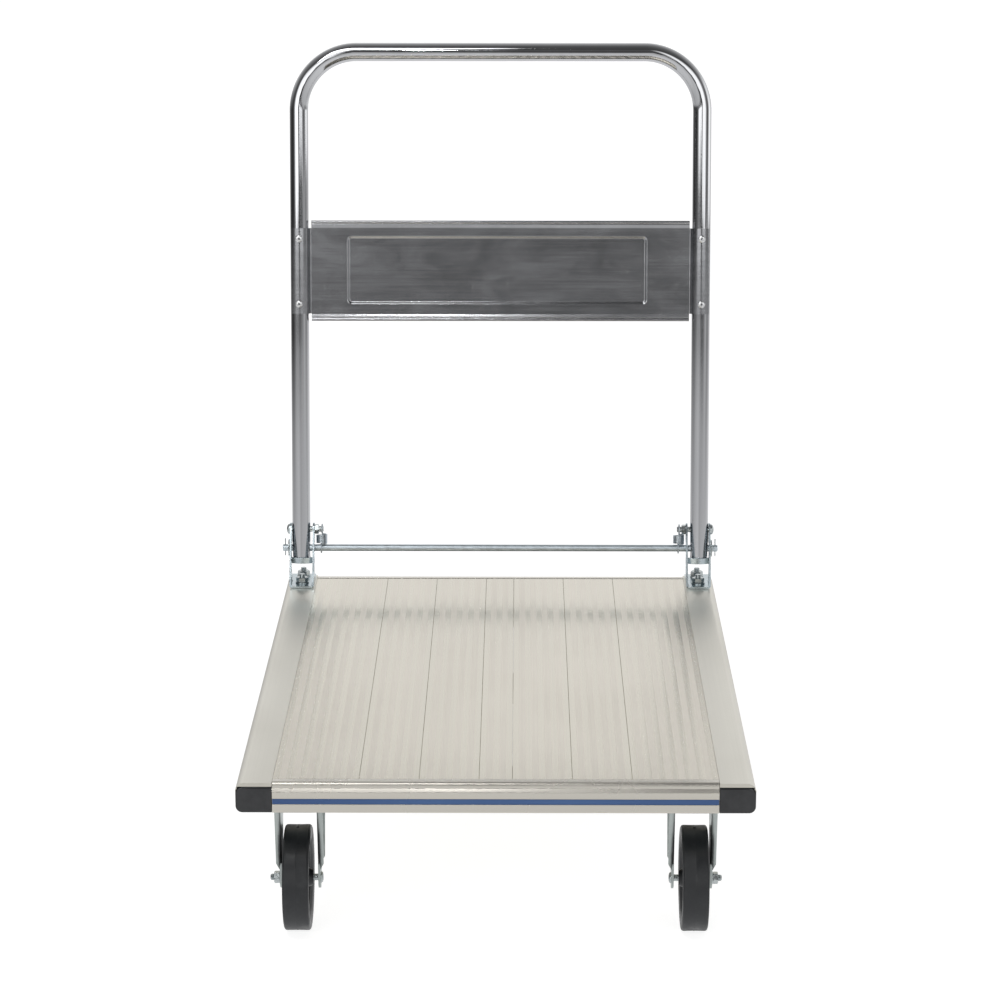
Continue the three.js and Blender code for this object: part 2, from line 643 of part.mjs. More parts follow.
// Wheel on its axle bolt: the tyre, the core it is moulded on, and the bolt with its nut outside.
function addWheel(place, sign, axleY) {
  const x = sign * HUB_CENTRE_X;
  const half = TREAD_WIDTH / 2;
  const core = 44;
  const corner = 2.5;
  const tyre = [
    [core, -half + 3.5], [core + 4, -half], [WHEEL_RADIUS - corner, -half], [WHEEL_RADIUS, -half + corner],
    [WHEEL_RADIUS, half - corner], [WHEEL_RADIUS - corner, half], [core + 4, half], [core, half - 3.5],
  ];
  add(`tyre_${place}`, turnedX(tyre, x, axleY, AXLE_Z, WHEEL_FACETS), rubber);
  const rim = core - 0.5;
  const hub = [
    [BOLT_HOLE_RADIUS, -HUB_LENGTH / 2], [9, -HUB_LENGTH / 2], [11, -10], [34, -5], [37, -11.5], [rim, -11.5],
    [rim, 11.5], [37, 11.5], [34, 5], [11, 10], [9, HUB_LENGTH / 2], [BOLT_HOLE_RADIUS, HUB_LENGTH / 2],
  ];
  add(`wheel_core_${place}`, turnedX(hub, x, axleY, AXLE_Z, 18), coreBlack);
  const inner = FORK_CENTRE_X - FORK_INNER_HALF - FORK_SHEET - GAP;
  const outer = FORK_CENTRE_X + FORK_INNER_HALF + FORK_SHEET + GAP;
  const bolt = [
    barX(BOLT_RADIUS, sign * (inner - 1), sign * (outer + 11.5), axleY, AXLE_Z),
    barX(6.5, sign * (inner - 3), sign * inner, axleY, AXLE_Z),
    barX(7.4, sign * outer, sign * (outer + 7), axleY, AXLE_Z, 6),
  ];
  add(`axle_bolt_${place}`, joined(bolt), zinc);
}

function addRigidCaster({ name, sign }) {
  const x = sign * FORK_CENTRE_X;
  const top = [FRONT_AXLE_Y, PLATE_BOTTOM_Z + 1];
  const plate = box(x - 44, x + 44, FRONT_AXLE_Y - 50, FRONT_AXLE_Y + 50, PLATE_BOTTOM_Z, PLATE_TOP_Z);
  const parts = [plate, ...forkLegs(x, top, 32, [FRONT_AXLE_Y, AXLE_Z])];
  add(`caster_fork_front_${name}`, joined(parts, [axleHole(x, FRONT_AXLE_Y)]), zinc);
  addWheel(`front_${name}`, sign, FRONT_AXLE_Y);
}

// Swivel caster: a top plate with a dished race, a king pin, and a trailing fork that hangs from the pin.
function addSwivelCaster({ name, sign }) {
  const x = sign * FORK_CENTRE_X;
  const axleY = SWIVEL_Y + SWIVEL_TRAIL;
  const raceBottom = 152;
  const crownTop = 147;
  const crownBottom = crownTop - 3;
  const pinRadius = 6;
  const pinHole = pinRadius + 0.4;
  const plate = box(x - 44, x + 44, SWIVEL_Y - 50, SWIVEL_Y + 50, PLATE_BOTTOM_Z, PLATE_TOP_Z);
  const race = turnedZ(
    [[pinHole, raceBottom], [24, raceBottom], [31, PLATE_BOTTOM_Z + 1], [pinHole, PLATE_BOTTOM_Z + 1]],
    x, SWIVEL_Y, 24,
  );
  const bore = barZ(pinHole, x, SWIVEL_Y, raceBottom - 1, PLATE_TOP_Z + 1, 24);
  add(`swivel_plate_${name}`, joined([plate, race], [bore]), zinc);
  const pin = [
    barZ(pinRadius, x, SWIVEL_Y, crownBottom - 2, PLATE_TOP_Z - GAP),
    barZ(11, x, SWIVEL_Y, crownBottom - 4 - GAP, crownBottom - GAP, 20),
    barZ(22, x, SWIVEL_Y, crownTop + GAP, raceBottom - GAP, 24),
  ];
  add(`king_pin_${name}`, joined(pin), zinc);
  const crownHalf = FORK_INNER_HALF + FORK_SHEET;
  const crown = box(x - crownHalf, x + crownHalf, SWIVEL_Y - 26, SWIVEL_Y + 26, crownBottom, crownTop);
  const dish = barZ(30, x, SWIVEL_Y, crownBottom, crownTop, 20);
  const parts = [crown, dish, ...forkLegs(x, [SWIVEL_Y, crownTop], 26, [axleY, AXLE_Z])];
  const cuts = [axleHole(x, axleY), barZ(pinHole, x, SWIVEL_Y, crownBottom - 1, crownTop + 1)];
  add(`caster_fork_rear_${name}`, joined(parts, cuts), zinc);
  addWheel(`rear_${name}`, sign, axleY);
}

// ---------------------------------------------------------------- the whole cart
addPlanks();
addEndProfiles();
addCrossMembers();
addHandleTube();
addPanel();
addReleaseRod();
for (const side of SIDES) {
  addRail(side);
  addCorner(side, "front");
  addCorner(side, "rear");
  addBracket(side);
  addBracketBolts(side);
  addPivotBolt(side);
  addRivets(side);
  addRodWasher(side);
  addSpring(side);
  addRigidCaster(side);
  addSwivelCaster(side);
}

// The origin is the centre of the bottom face of the cart's box.
cart.updateMatrixWorld(true);
const bounds = new THREE.Box3().setFromObject(cart, true);
cart.position.set(0, -(bounds.min.y + bounds.max.y) / 2, -bounds.min.z);

export default cart;
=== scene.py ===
"""Looks of the folding platform cart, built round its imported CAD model.

Shapes are drawn in millimetres in two spaces. In the deck's space y = 0 is the deck's front edge and z = 0 the
floor. In the handle's space the origin is the left and right pivots' common axis and z runs up the tubes.
"""

import json
import math
from types import SimpleNamespace

import bmesh
import bpy
from mathutils import Matrix, Vector
from mathutils.geometry import tessellate_polygon


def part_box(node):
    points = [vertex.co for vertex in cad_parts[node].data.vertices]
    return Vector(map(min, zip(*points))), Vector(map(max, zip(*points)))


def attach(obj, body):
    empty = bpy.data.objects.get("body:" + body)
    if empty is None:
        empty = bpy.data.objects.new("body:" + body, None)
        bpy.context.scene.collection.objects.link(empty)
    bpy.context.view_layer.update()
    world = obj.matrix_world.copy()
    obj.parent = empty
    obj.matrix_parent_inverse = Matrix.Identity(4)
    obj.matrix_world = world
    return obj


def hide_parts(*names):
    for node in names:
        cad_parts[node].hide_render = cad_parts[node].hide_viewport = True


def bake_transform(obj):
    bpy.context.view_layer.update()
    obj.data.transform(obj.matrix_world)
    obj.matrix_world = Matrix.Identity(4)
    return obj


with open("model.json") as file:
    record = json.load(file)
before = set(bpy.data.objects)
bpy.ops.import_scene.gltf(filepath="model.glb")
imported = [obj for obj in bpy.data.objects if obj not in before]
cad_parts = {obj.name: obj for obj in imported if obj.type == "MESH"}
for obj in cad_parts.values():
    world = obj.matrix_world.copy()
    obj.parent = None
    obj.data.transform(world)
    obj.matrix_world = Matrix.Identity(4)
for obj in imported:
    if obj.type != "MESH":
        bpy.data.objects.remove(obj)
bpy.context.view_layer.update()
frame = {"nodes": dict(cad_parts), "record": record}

MM = 0.001
JOINTS = {joint["name"]: joint for joint in frame["record"]["behaviour"]["joints"]}
LEAN = math.atan2(-JOINTS["rod_release"]["axis"][1], -JOINTS["rod_release"]["axis"][2])
DECK = Matrix.Translation((0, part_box("side_rail_left")[0].y, 0))
HANDLE = Matrix.Translation(JOINTS["handle_fold"]["pos_m"]) @ Matrix.Rotation(-LEAN, 4, "X")

SIDES = {"left": -1, "right": 1}


def cad_points(node, space=DECK):
    """The corners of a CAD node in the deck's or the handle's space, in millimetres."""
    to_space = space.inverted()
    return [to_space @ vertex.co / MM for vertex in frame["nodes"][node].data.vertices]


def cad(node, space=DECK):
    """The box of a CAD node."""
    return box_of(cad_points(node, space))


def box_of(points):
    (x0, x1), (y0, y1), (z0, z1) = [(min(p[i] for p in points), max(p[i] for p in points)) for i in range(3)]
    return SimpleNamespace(
        x0=x0, x1=x1, y0=y0, y1=y1, z0=z0, z1=z1, x=(x0 + x1) / 2, y=(y0 + y1) / 2, z=(z0 + z1) / 2
    )


# ------------------------------------------------------------------------------------------------ materials
def srgb(*levels):
    """A colour given as 0-255 screen levels, as the linear colour that a shader takes."""
    return tuple((level / 255 / 12.92) if level < 11 else ((level / 255 + 0.055) / 1.055) ** 2.4
                 for level in levels) + (1,)


class Surface:
    """A Principled material with procedural grain, driven by object coordinates in metres."""

    def __init__(self, name, color, roughness, metallic=0.0, **sockets):
        self.material = bpy.data.materials.new(name)
        self.material.use_nodes = True
        self.tree = self.material.node_tree
        self.shader = self.tree.nodes["Principled BSDF"]
        self.color, self.roughness = color, roughness
        self.shader.inputs["Base Color"].default_value = color
        self.shader.inputs["Roughness"].default_value = roughness
        self.shader.inputs["Metallic"].default_value = metallic
        for socket, value in sockets.items():
            self.shader.inputs[socket.replace("_", " ")].default_value = value
        self.coordinates = self.node("TexCoord").outputs["Object"]

    def node(self, kind, **settings):
        node = self.tree.nodes.new("ShaderNode" + kind)
        for key, value in settings.items():
            setattr(node, key, value)
        return node

    def link(self, source, target):
        self.tree.links.new(source, target)

    def noise(self, scale, detail=4.0, rough=0.55, distortion=0.0):
        """Noise whose cells are 1/scale metres in x, y and z."""
        mapping = self.node("Mapping")
        mapping.inputs["Scale"].default_value = scale
        self.link(self.coordinates, mapping.inputs["Vector"])
        noise = self.node("TexNoise")
        noise.inputs["Scale"].default_value = 1.0
        noise.inputs["Detail"].default_value = detail
        noise.inputs["Roughness"].default_value = rough
        noise.inputs["Distortion"].default_value = distortion
        self.link(mapping.outputs["Vector"], noise.inputs["Vector"])
        return noise.outputs["Fac"]

    def spread(self, value, low, high, start=0.3, end=0.7):
        """Maps a noise value between start and end onto low to high."""
        node = self.node("MapRange", interpolation_type="SMOOTHSTEP")
        for socket, number in (("From Min", start), ("From Max", end), ("To Min", low), ("To Max", high)):
            node.inputs[socket].default_value = number
        self.link(value, node.inputs["Value"])
        return node.outputs["Result"]

    def math(self, operation, a, b):
        node = self.node("Math", operation=operation)
        for socket, value in zip(node.inputs, (a, b)):
            if isinstance(value, (int, float)):
                socket.default_value = value
            else:
                self.link(value, socket)
        return node.outputs["Value"]

    def mix(self, factor, color_a, color_b):
        node = self.node("Mix", data_type="RGBA")
        self.link(factor, node.inputs[0])
        for socket, color in ((node.inputs[6], color_a), (node.inputs[7], color_b)):
            if isinstance(color, tuple):
                socket.default_value = color
            else:
                self.link(color, socket)
        return node.outputs[2]

    def tinted(self, factor, color_a, color_b):
        """Varies the base colour between two colours."""
        self.color = self.mix(factor, color_a, color_b)
        self.link(self.color, self.shader.inputs["Base Color"])
        return self

    def toned(self, factor, amount):
        """Darkens and lightens the base colour by up to amount."""
        darker = tuple(c * (1 - amount) for c in self.color[:3]) + (1,)
        lighter = tuple(min(1, c * (1 + amount)) for c in self.color[:3]) + (1,)
        return self.tinted(factor, darker, lighter)

    def roughened(self, factor, low, high):
        self.link(self.spread(factor, low, high), self.shader.inputs["Roughness"])
        return self

    def bumped(self, height, distance, strength=1.0):
        bump = self.node("Bump")
        bump.inputs["Strength"].default_value = strength
        bump.inputs["Distance"].default_value = distance
        self.link(height, bump.inputs["Height"])
        self.link(bump.outputs["Normal"], self.shader.inputs["Normal"])
        return self


def extruded_aluminium(name, color, low, high, along="y"):
    """Satin anodised aluminium with faint die lines along the extrusion, which runs along x or y."""
    surface = Surface(name, color, (low + high) / 2, metallic=1.0)
    fine, broad = ((420, 1.2, 420), (26, 0.2, 26)) if along == "y" else ((1.2, 420, 420), (0.2, 26, 26))
    die_lines = surface.noise(fine, detail=2, rough=0.6)
    clouds = surface.noise((7, 4, 7), detail=3)
    bands = surface.noise(broad, detail=3, rough=0.6)
    tone = surface.math("ADD", surface.math("MULTIPLY", die_lines, 0.35), surface.math("MULTIPLY", bands, 0.65))
    surface.toned(surface.spread(tone, 0, 1), 0.028)
    surface.roughened(clouds, low, high)
    if along == "y":
        across = surface.node("Tangent", direction_type="RADIAL", axis="Y")
        surface.shader.inputs["Anisotropic"].default_value = 0.8
        surface.link(across.outputs["Tangent"], surface.shader.inputs["Tangent"])
    return surface.bumped(die_lines, 0.000004, 0.12)


def zinc_sheet(name, color, low, high, cloud=60):
    """Zinc plate: a fine bluish cloudiness over rolled steel."""
    surface = Surface(name, color, (low + high) / 2, metallic=1.0)
    clouds = surface.noise((cloud, cloud, cloud), detail=5, rough=0.65, distortion=0.4)
    grit = surface.noise((900, 900, 900), detail=2)
    surface.toned(surface.spread(clouds, 0, 1), 0.12)
    surface.roughened(clouds, low, high)
    return surface.bumped(grit, 0.00002, 0.3)


def chrome(name):
    """Bright chrome with faint smudges and polishing marks."""
    surface = Surface(name, srgb(204, 205, 208), 0.06, metallic=1.0)
    smudges = surface.noise((18, 18, 7), detail=4, distortion=0.6)
    polish = surface.noise((500, 500, 30), detail=3)
    surface.toned(surface.spread(smudges, 0, 1), 0.03)
    surface.roughened(smudges, 0.04, 0.09)
    return surface.bumped(polish, 0.000006, 0.1)


def panel_steel(name):
    """Dark sheet steel: fine rolled grain, cloudy patches and a few thin scratches."""
    surface = Surface(name, srgb(168, 169, 172), 0.17, metallic=1.0)
    grain = surface.noise((5, 300, 520), detail=5, rough=0.6)
    clouds = surface.noise((11, 14, 24), detail=5, rough=0.6, distortion=1.0)
    scratches = surface.noise((26, 26, 9), detail=2, distortion=2.5)
    line = surface.spread(surface.math("ABSOLUTE", surface.math("SUBTRACT", scratches, 0.5), 0), 1, 0, 0, 0.002)
    tone = surface.math("ADD", surface.math("MULTIPLY", grain, 0.35), surface.math("MULTIPLY", clouds, 0.65))
    surface.toned(surface.spread(tone, 0, 1), 0.09)
    surface.tinted(surface.math("MULTIPLY", line, 0.35), surface.color, srgb(235, 235, 235))
    surface.roughened(tone, 0.15, 0.2)
    return surface.bumped(grain, 0.000003, 0.05)


def rubber(name):
    surface = Surface(name, srgb(32, 33, 36), 0.45, Specular_IOR_Level=0.5)
    dust = surface.noise((45, 45, 45), detail=6, rough=0.7)
    grit = surface.noise((1400, 1400, 1400), detail=2)
    surface.tinted(surface.spread(dust, 0, 1, 0.45, 0.85), srgb(27, 29, 32), srgb(50, 52, 54))
    surface.roughened(dust, 0.32, 0.56)
    return surface.bumped(grit, 0.00008, 0.35)


def black_plastic(name, color, low, high, grit_depth):
    surface = Surface(name, color, (low + high) / 2, Specular_IOR_Level=0.5)
    wear = surface.noise((70, 70, 70), detail=5, rough=0.6)
    grit = surface.noise((1600, 1600, 1600), detail=2)
    surface.toned(surface.spread(wear, 0, 1), 0.18)
    surface.roughened(wear, low, high)
    return surface.bumped(grit, grit_depth, 0.35)


def stripe_blue(name):
    """Inlaid blue strip, a little darker towards one side, with faint scuffs."""
    surface = Surface(name, srgb(63, 93, 140), 0.4, Specular_IOR_Level=0.4)
    shade = surface.noise((2.2, 2.2, 2.2), detail=2)
    scuffs = surface.noise((120, 400, 400), detail=4)
    surface.tinted(surface.spread(shade, 0, 1), srgb(48, 77, 124), srgb(70, 103, 150))
    surface.roughened(scuffs, 0.32, 0.5)
    return surface.bumped(scuffs, 0.00003, 0.3)


LOOKS = {
    "deck_aluminium": extruded_aluminium("deck_aluminium", srgb(209, 204, 191), 0.22, 0.26).material,
    "ribbed_aluminium": extruded_aluminium("ribbed_aluminium", srgb(215, 209, 197), 0.31, 0.37).material,
    "frame_aluminium": extruded_aluminium("frame_aluminium", srgb(214, 211, 201), 0.3, 0.38).material,
    "profile_aluminium": extruded_aluminium("profile_aluminium", srgb(216, 212, 203), 0.24, 0.3, "x").material,
    "cap_plastic": black_plastic("cap_plastic", srgb(40, 41, 43), 0.07, 0.12, 0.000008).material,
    "stripe_blue": stripe_blue("stripe_blue").material,
    "zinc_plate": zinc_sheet("zinc_plate", srgb(193, 204, 209), 0.2, 0.34).material,
    "caster_zinc": zinc_sheet("caster_zinc", srgb(186, 193, 191), 0.3, 0.46, 40).material,
    "zinc_fastener": zinc_sheet("zinc_fastener", srgb(192, 198, 199), 0.16, 0.3, 150).material,
    "black_rubber": rubber("black_rubber").material,
    "core_plastic": black_plastic("core_plastic", srgb(36, 37, 40), 0.4, 0.52, 0.00005).material,
    "chrome_tube": chrome("chrome_tube").material,
    "panel_steel": panel_steel("panel_steel").material,
    "rivet_aluminium": zinc_sheet("rivet_aluminium", srgb(222, 223, 224), 0.22, 0.34, 300).material,
    "rod_steel": zinc_sheet("rod_steel", srgb(204, 214, 220), 0.34, 0.42, 90).material,
    "spring_steel": zinc_sheet("spring_steel", srgb(204, 212, 218), 0.28, 0.4, 200).material,
}


# ------------------------------------------------------------------------------------------------ shapes
# A shape is (vertices, faces). Outlines are lists of points in (y, z), (x, z) or (x, y).
AXES = {
    "x": lambda u, v, w: (w, u, v),
    "y": lambda u, v, w: (u, w, v),
    "z": lambda u, v, w: (u, v, w),
}


def arc(u, v, radius, start, end, steps=8):
    """Points on an arc about (u, v), with angles in degrees."""
    angles = [math.radians(start + (end - start) * i / steps) for i in range(steps + 1)]
    return [(u + radius * math.cos(a), v + radius * math.sin(a)) for a in angles]


def rounded(u0, v0, u1, v1, radii, steps=8):
    """A rectangle with a radius at each corner: low-low, high-low, high-high, low-high."""
    a, b, c, d = radii if isinstance(radii, (list, tuple)) else [radii] * 4
    return [
        *arc(u0 + a, v0 + a, a, 180, 270, steps), *arc(u1 - b, v0 + b, b, 270, 360, steps),
        *arc(u1 - c, v1 - c, c, 0, 90, steps), *arc(u0 + d, v1 - d, d, 90, 180, steps),
    ]


def merged(*shapes):
    verts, faces = [], []
    for shape_verts, shape_faces in shapes:
        faces += [tuple(i + len(verts) for i in face) for face in shape_faces]
        verts += shape_verts
    return verts, faces


def moved(shape, x=0, y=0, z=0):
    return [(a + x, b + y, c + z) for a, b, c in shape[0]], shape[1]


def mirrored(shape):
    return [(-x, y, z) for x, y, z in shape[0]], shape[1]


def prism(outline, axis, w0, w1, holes=()):
    """An outline, less its holes, pushed along an axis."""
    loops = [outline, *holes]
    flat = [point for loop in loops for point in loop]
    count = len(flat)
    verts = [AXES[axis](u, v, w) for w in (w0, w1) for u, v in flat]
    if holes:
        caps = [tuple(t) for t in tessellate_polygon([[Vector((u, v, 0)) for u, v in loop] for loop in loops])]
    else:
        caps = [tuple(range(count))]
    faces = caps + [tuple(i + count for i in cap) for cap in caps]
    start = 0
    for loop in loops:
        size = len(loop)
        for i in range(size):
            a, b = start + i, start + (i + 1) % size
            faces.append((a, b, b + count, a + count))
        start += size
    return verts, faces


def block(x0, x1, y0, y1, z0, z1):
    return prism([(x0, y0), (x1, y0), (x1, y1), (x0, y1)], "z", z0, z1)


def loft(outline_a, w_a, outline_b, w_b, axis="z"):
    """Two outlines with as many points each, joined along an axis."""
    count = len(outline_a)
    verts = [AXES[axis](u, v, w_a) for u, v in outline_a] + [AXES[axis](u, v, w_b) for u, v in outline_b]
    faces = [tuple(range(count)), tuple(range(count, 2 * count))]
    faces += [(i, (i + 1) % count, (i + 1) % count + count, i + count) for i in range(count)]
    return verts, faces


def turned(profile, axis, centre, segments=48):
    """A profile of (radius, height) turned about an axis through centre.

    The profile closes on itself, or starts and ends on the axis. It may be a function of the angle.
    """
    at_angle = profile if callable(profile) else (lambda angle: profile)
    rows = []
    for i in range(segments):
        angle = 2 * math.pi * i / segments
        rows.append([
            AXES[axis](r * math.cos(angle), r * math.sin(angle), h) for r, h in at_angle(angle)
        ])
    count = len(rows[0])
    on_axis = at_angle(0)[0][0] == 0 and at_angle(0)[-1][0] == 0
    verts = [tuple(c + o for c, o in zip(point, centre)) for row in rows for point in row]
    faces = []
    for i in range(segments):
        for j in range(count - 1 if on_axis else count):
            k, after = (j + 1) % count, (i + 1) % segments
            faces.append((i * count + j, i * count + k, after * count + k, after * count + j))
    return verts, faces


def bar(radius, axis, w0, w1, centre=(0, 0, 0), chamfer=0.4, segments=40):
    """A round bar with chamfered ends."""
    profile = [(0, w0), (radius - chamfer, w0), (radius, w0 + chamfer),
               (radius, w1 - chamfer), (radius - chamfer, w1), (0, w1)]
    return turned(profile, axis, centre, segments)


def threaded(radius, axis, w0, w1, centre, pitch=1.25, depth=0.5):
    """A bar with thread rings and a chamfered end at w1."""
    toward = 1 if w1 > w0 else -1
    turns = int(abs(w1 - w0) / pitch)
    profile = [(0, w0)]
    for i in range(turns):
        start = w0 + toward * i * pitch
        profile += [(radius - depth, start), (radius, start + toward * 0.35 * pitch),
                    (radius, start + toward * 0.55 * pitch)]
    profile += [(radius - depth, w0 + toward * turns * pitch), (radius - 1, w1), (0, w1)]
    return turned(profile, axis, centre, 32)


def hexagon(apothem, axis, w0, w1, centre, bore=0.0, chamfered=(True, True)):
    """A hexagon nut or bolt head with its corners chamfered to a circle at one or both ends."""
    circle = 0.96 * apothem

    def profile(angle):
        reach = apothem / math.cos((angle % (math.pi / 3)) - math.pi / 6)
        drop = (reach - circle) * math.tan(math.radians(30))
        low, high = [drop if on else 0 for on in chamfered]
        inner = [(bore, w0), (circle, w0)] if chamfered[0] else [(bore, w0), (reach, w0)]
        outer = [(circle, w1), (bore, w1)] if chamfered[1] else [(reach, w1), (bore, w1)]
        return [*inner, (reach, w0 + low), (reach, w1 - high), *outer]

    return turned(profile, axis, centre, 60)


def washer(bore, radius, axis, w0, w1, centre, edge=0.3):
    profile = [(bore, w0), (radius - edge, w0), (radius, w0 + edge), (radius, w1 - edge),
               (radius - edge, w1), (bore, w1)]
    return turned(profile, axis, centre, 56)


def sweep(path, radius, sides=16, bore=0.0):
    """A round bar, or a tube with a bore, along a path of points, with flat ends."""
    points = [Vector(p) for p in path]
    tangents = []
    for i in range(len(points)):
        ahead, behind = points[min(i + 1, len(points) - 1)], points[max(i - 1, 0)]
        tangents.append((ahead - behind).normalized())
    normal = tangents[0].orthogonal().normalized()
    rings = []
    for point, tangent in zip(points, tangents):
        normal = (normal - tangent * normal.dot(tangent)).normalized()
        other = tangent.cross(normal)
        turns = [2 * math.pi * k / sides for k in range(sides)]
        rings.append([(point, normal * math.cos(t) + other * math.sin(t)) for t in turns])
    verts = [tuple(p + d * radius) for ring in rings for p, d in ring]
    faces = []
    for i in range(len(points) - 1):
        for k in range(sides):
            a, b = i * sides + k, i * sides + (k + 1) % sides
            faces.append((a, b, b + sides, a + sides))
    last = (len(points) - 1) * sides
    if bore:
        count = len(verts)
        verts += [tuple(p + d * bore) for ring in rings for p, d in ring]
        faces += [tuple(i + count for i in face) for face in faces]
        for start in (0, last):
            for k in range(sides):
                a, b = start + k, start + (k + 1) % sides
                faces.append((a, b, b + count, a + count))
    else:
        faces += [tuple(range(sides)), tuple(range(last, last + sides))]
    return verts, faces


def tidy_mesh(mesh):
    """Joins doubled vertices and turns every face outwards."""
    work = bmesh.new()
    work.from_mesh(mesh)
    bmesh.ops.remove_doubles(work, verts=work.verts, dist=1e-6)
    bmesh.ops.dissolve_degenerate(work, edges=work.edges, dist=1e-7)
    bmesh.ops.recalc_face_normals(work, faces=work.faces)
    work.to_mesh(mesh)
    work.free()


def scratch(shape):
    mesh = bpy.data.meshes.new("scratch")
    mesh.from_pydata(shape[0], [], shape[1])
    tidy_mesh(mesh)
    obj = bpy.data.objects.new("scratch", mesh)
    bpy.context.scene.collection.objects.link(obj)
    return obj


def carved(shape, cut=(), inside=(), joined=()):
    """The shape with others joined to it, then cut out of it, then kept only inside others."""
    base = scratch(shape)
    tools = []
    for operation, others in (("UNION", joined), ("DIFFERENCE", cut), ("INTERSECT", inside)):
        for other in others:
            tool = scratch(other)
            tools.append(tool)
            modifier = base.modifiers.new("carve", "BOOLEAN")
            modifier.operation = operation
            modifier.solver = "EXACT"
            modifier.object = tool
    evaluated = base.evaluated_get(bpy.context.evaluated_depsgraph_get())
    work = bmesh.new()
    work.from_mesh(evaluated.to_mesh())
    bmesh.ops.dissolve_limit(work, angle_limit=math.radians(0.5), verts=work.verts, edges=work.edges)
    work.verts.index_update()
    result = [tuple(v.co) for v in work.verts], [tuple(v.index for v in f.verts) for f in work.faces]
    work.free()
    for obj in (base, *tools):
        mesh = obj.data
        bpy.data.objects.remove(obj)
        bpy.data.meshes.remove(mesh)
    return result


def piece(name, shape, slot, body, replaces=(), space=DECK, bevel=0.0, steps=2, angle=32, look=None):
    """Makes one piece of the cart from a shape in millimetres and hangs it on its body."""
    mesh = bpy.data.meshes.new(name)
    mesh.from_pydata([Vector(v) * MM for v in shape[0]], [], shape[1])
    tidy_mesh(mesh)
    mesh.shade_smooth()
    mesh.set_sharp_from_angle(angle=math.radians(angle))
    mesh.materials.append(LOOKS[look or slot])
    obj = bpy.data.objects.new(name, mesh)
    bpy.context.scene.collection.objects.link(obj)
    obj.matrix_world = space
    if bevel:
        modifier = obj.modifiers.new("edges", "BEVEL")
        modifier.width = bevel * MM
        modifier.segments = steps
        modifier.limit_method = "ANGLE"
        modifier.angle_limit = math.radians(angle)
        modifier.harden_normals = True
    if body:
        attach(obj, body)
    if replaces:
        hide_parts(*([replaces] if isinstance(replaces, str) else replaces))
    return obj


# ------------------------------------------------------------------------------------------------ deck
STRIP_PITCH = 7.7
RIBS = 5
RIB_DEPTH = 0.09
STRIPE_DEPTH = 0.8


def plank_outline(box):
    """A skin on legs. Every second strip of its top carries fine ribs."""
    skin, leg, edge = 2.6, 2.0, 0.3
    width = box.x1 - box.x0
    strips = round(width / STRIP_PITCH)
    first = box.x - strips * STRIP_PITCH / 2
    top = []
    for i in range(1, strips, 2):
        start = first + i * STRIP_PITCH
        rib = STRIP_PITCH / RIBS
        for k in range(RIBS):
            x = start + k * rib
            top += [(x, box.z1), (x + 0.3 * rib, box.z1 - RIB_DEPTH),
                    (x + 0.5 * rib, box.z1 - RIB_DEPTH), (x + 0.8 * rib, box.z1)]
        top.append((start + STRIP_PITCH, box.z1))
    legs = max(2, round(width / (3 * STRIP_PITCH)) + 1)
    outline = [(box.x0, box.z1 - edge), (box.x0 + edge, box.z1), *top,
               (box.x1 - edge, box.z1), (box.x1, box.z1 - edge)]
    for i in reversed(range(legs)):
        x = box.x0 + i * (width - leg) / (legs - 1)
        if i < legs - 1:
            outline.append((x + leg, box.z1 - skin))
        outline += [(x + leg, box.z0), (x, box.z0)]
        if i > 0:
            outline.append((x, box.z1 - skin))
    return outline, first


def build_planks():
    for node in sorted(n for n in frame["nodes"] if n.startswith("deck_plank_")):
        box = cad(node)
        outline, first = plank_outline(box)
        plank = piece(node + "_ribbed", prism(outline, "y", box.y0, box.y1), "deck_aluminium", "deck", node)
        plank.data.materials.append(LOOKS["ribbed_aluminium"])
        for face in plank.data.polygons:
            strip = int((face.center.x / MM - first) // STRIP_PITCH)
            if strip % 2 and face.center.z / MM > box.z1 - 2 * RIB_DEPTH and len(face.vertices) == 4:
                face.material_index = 1


RAIL_CORNER = 10.0
CAP_CORNER = 8.0


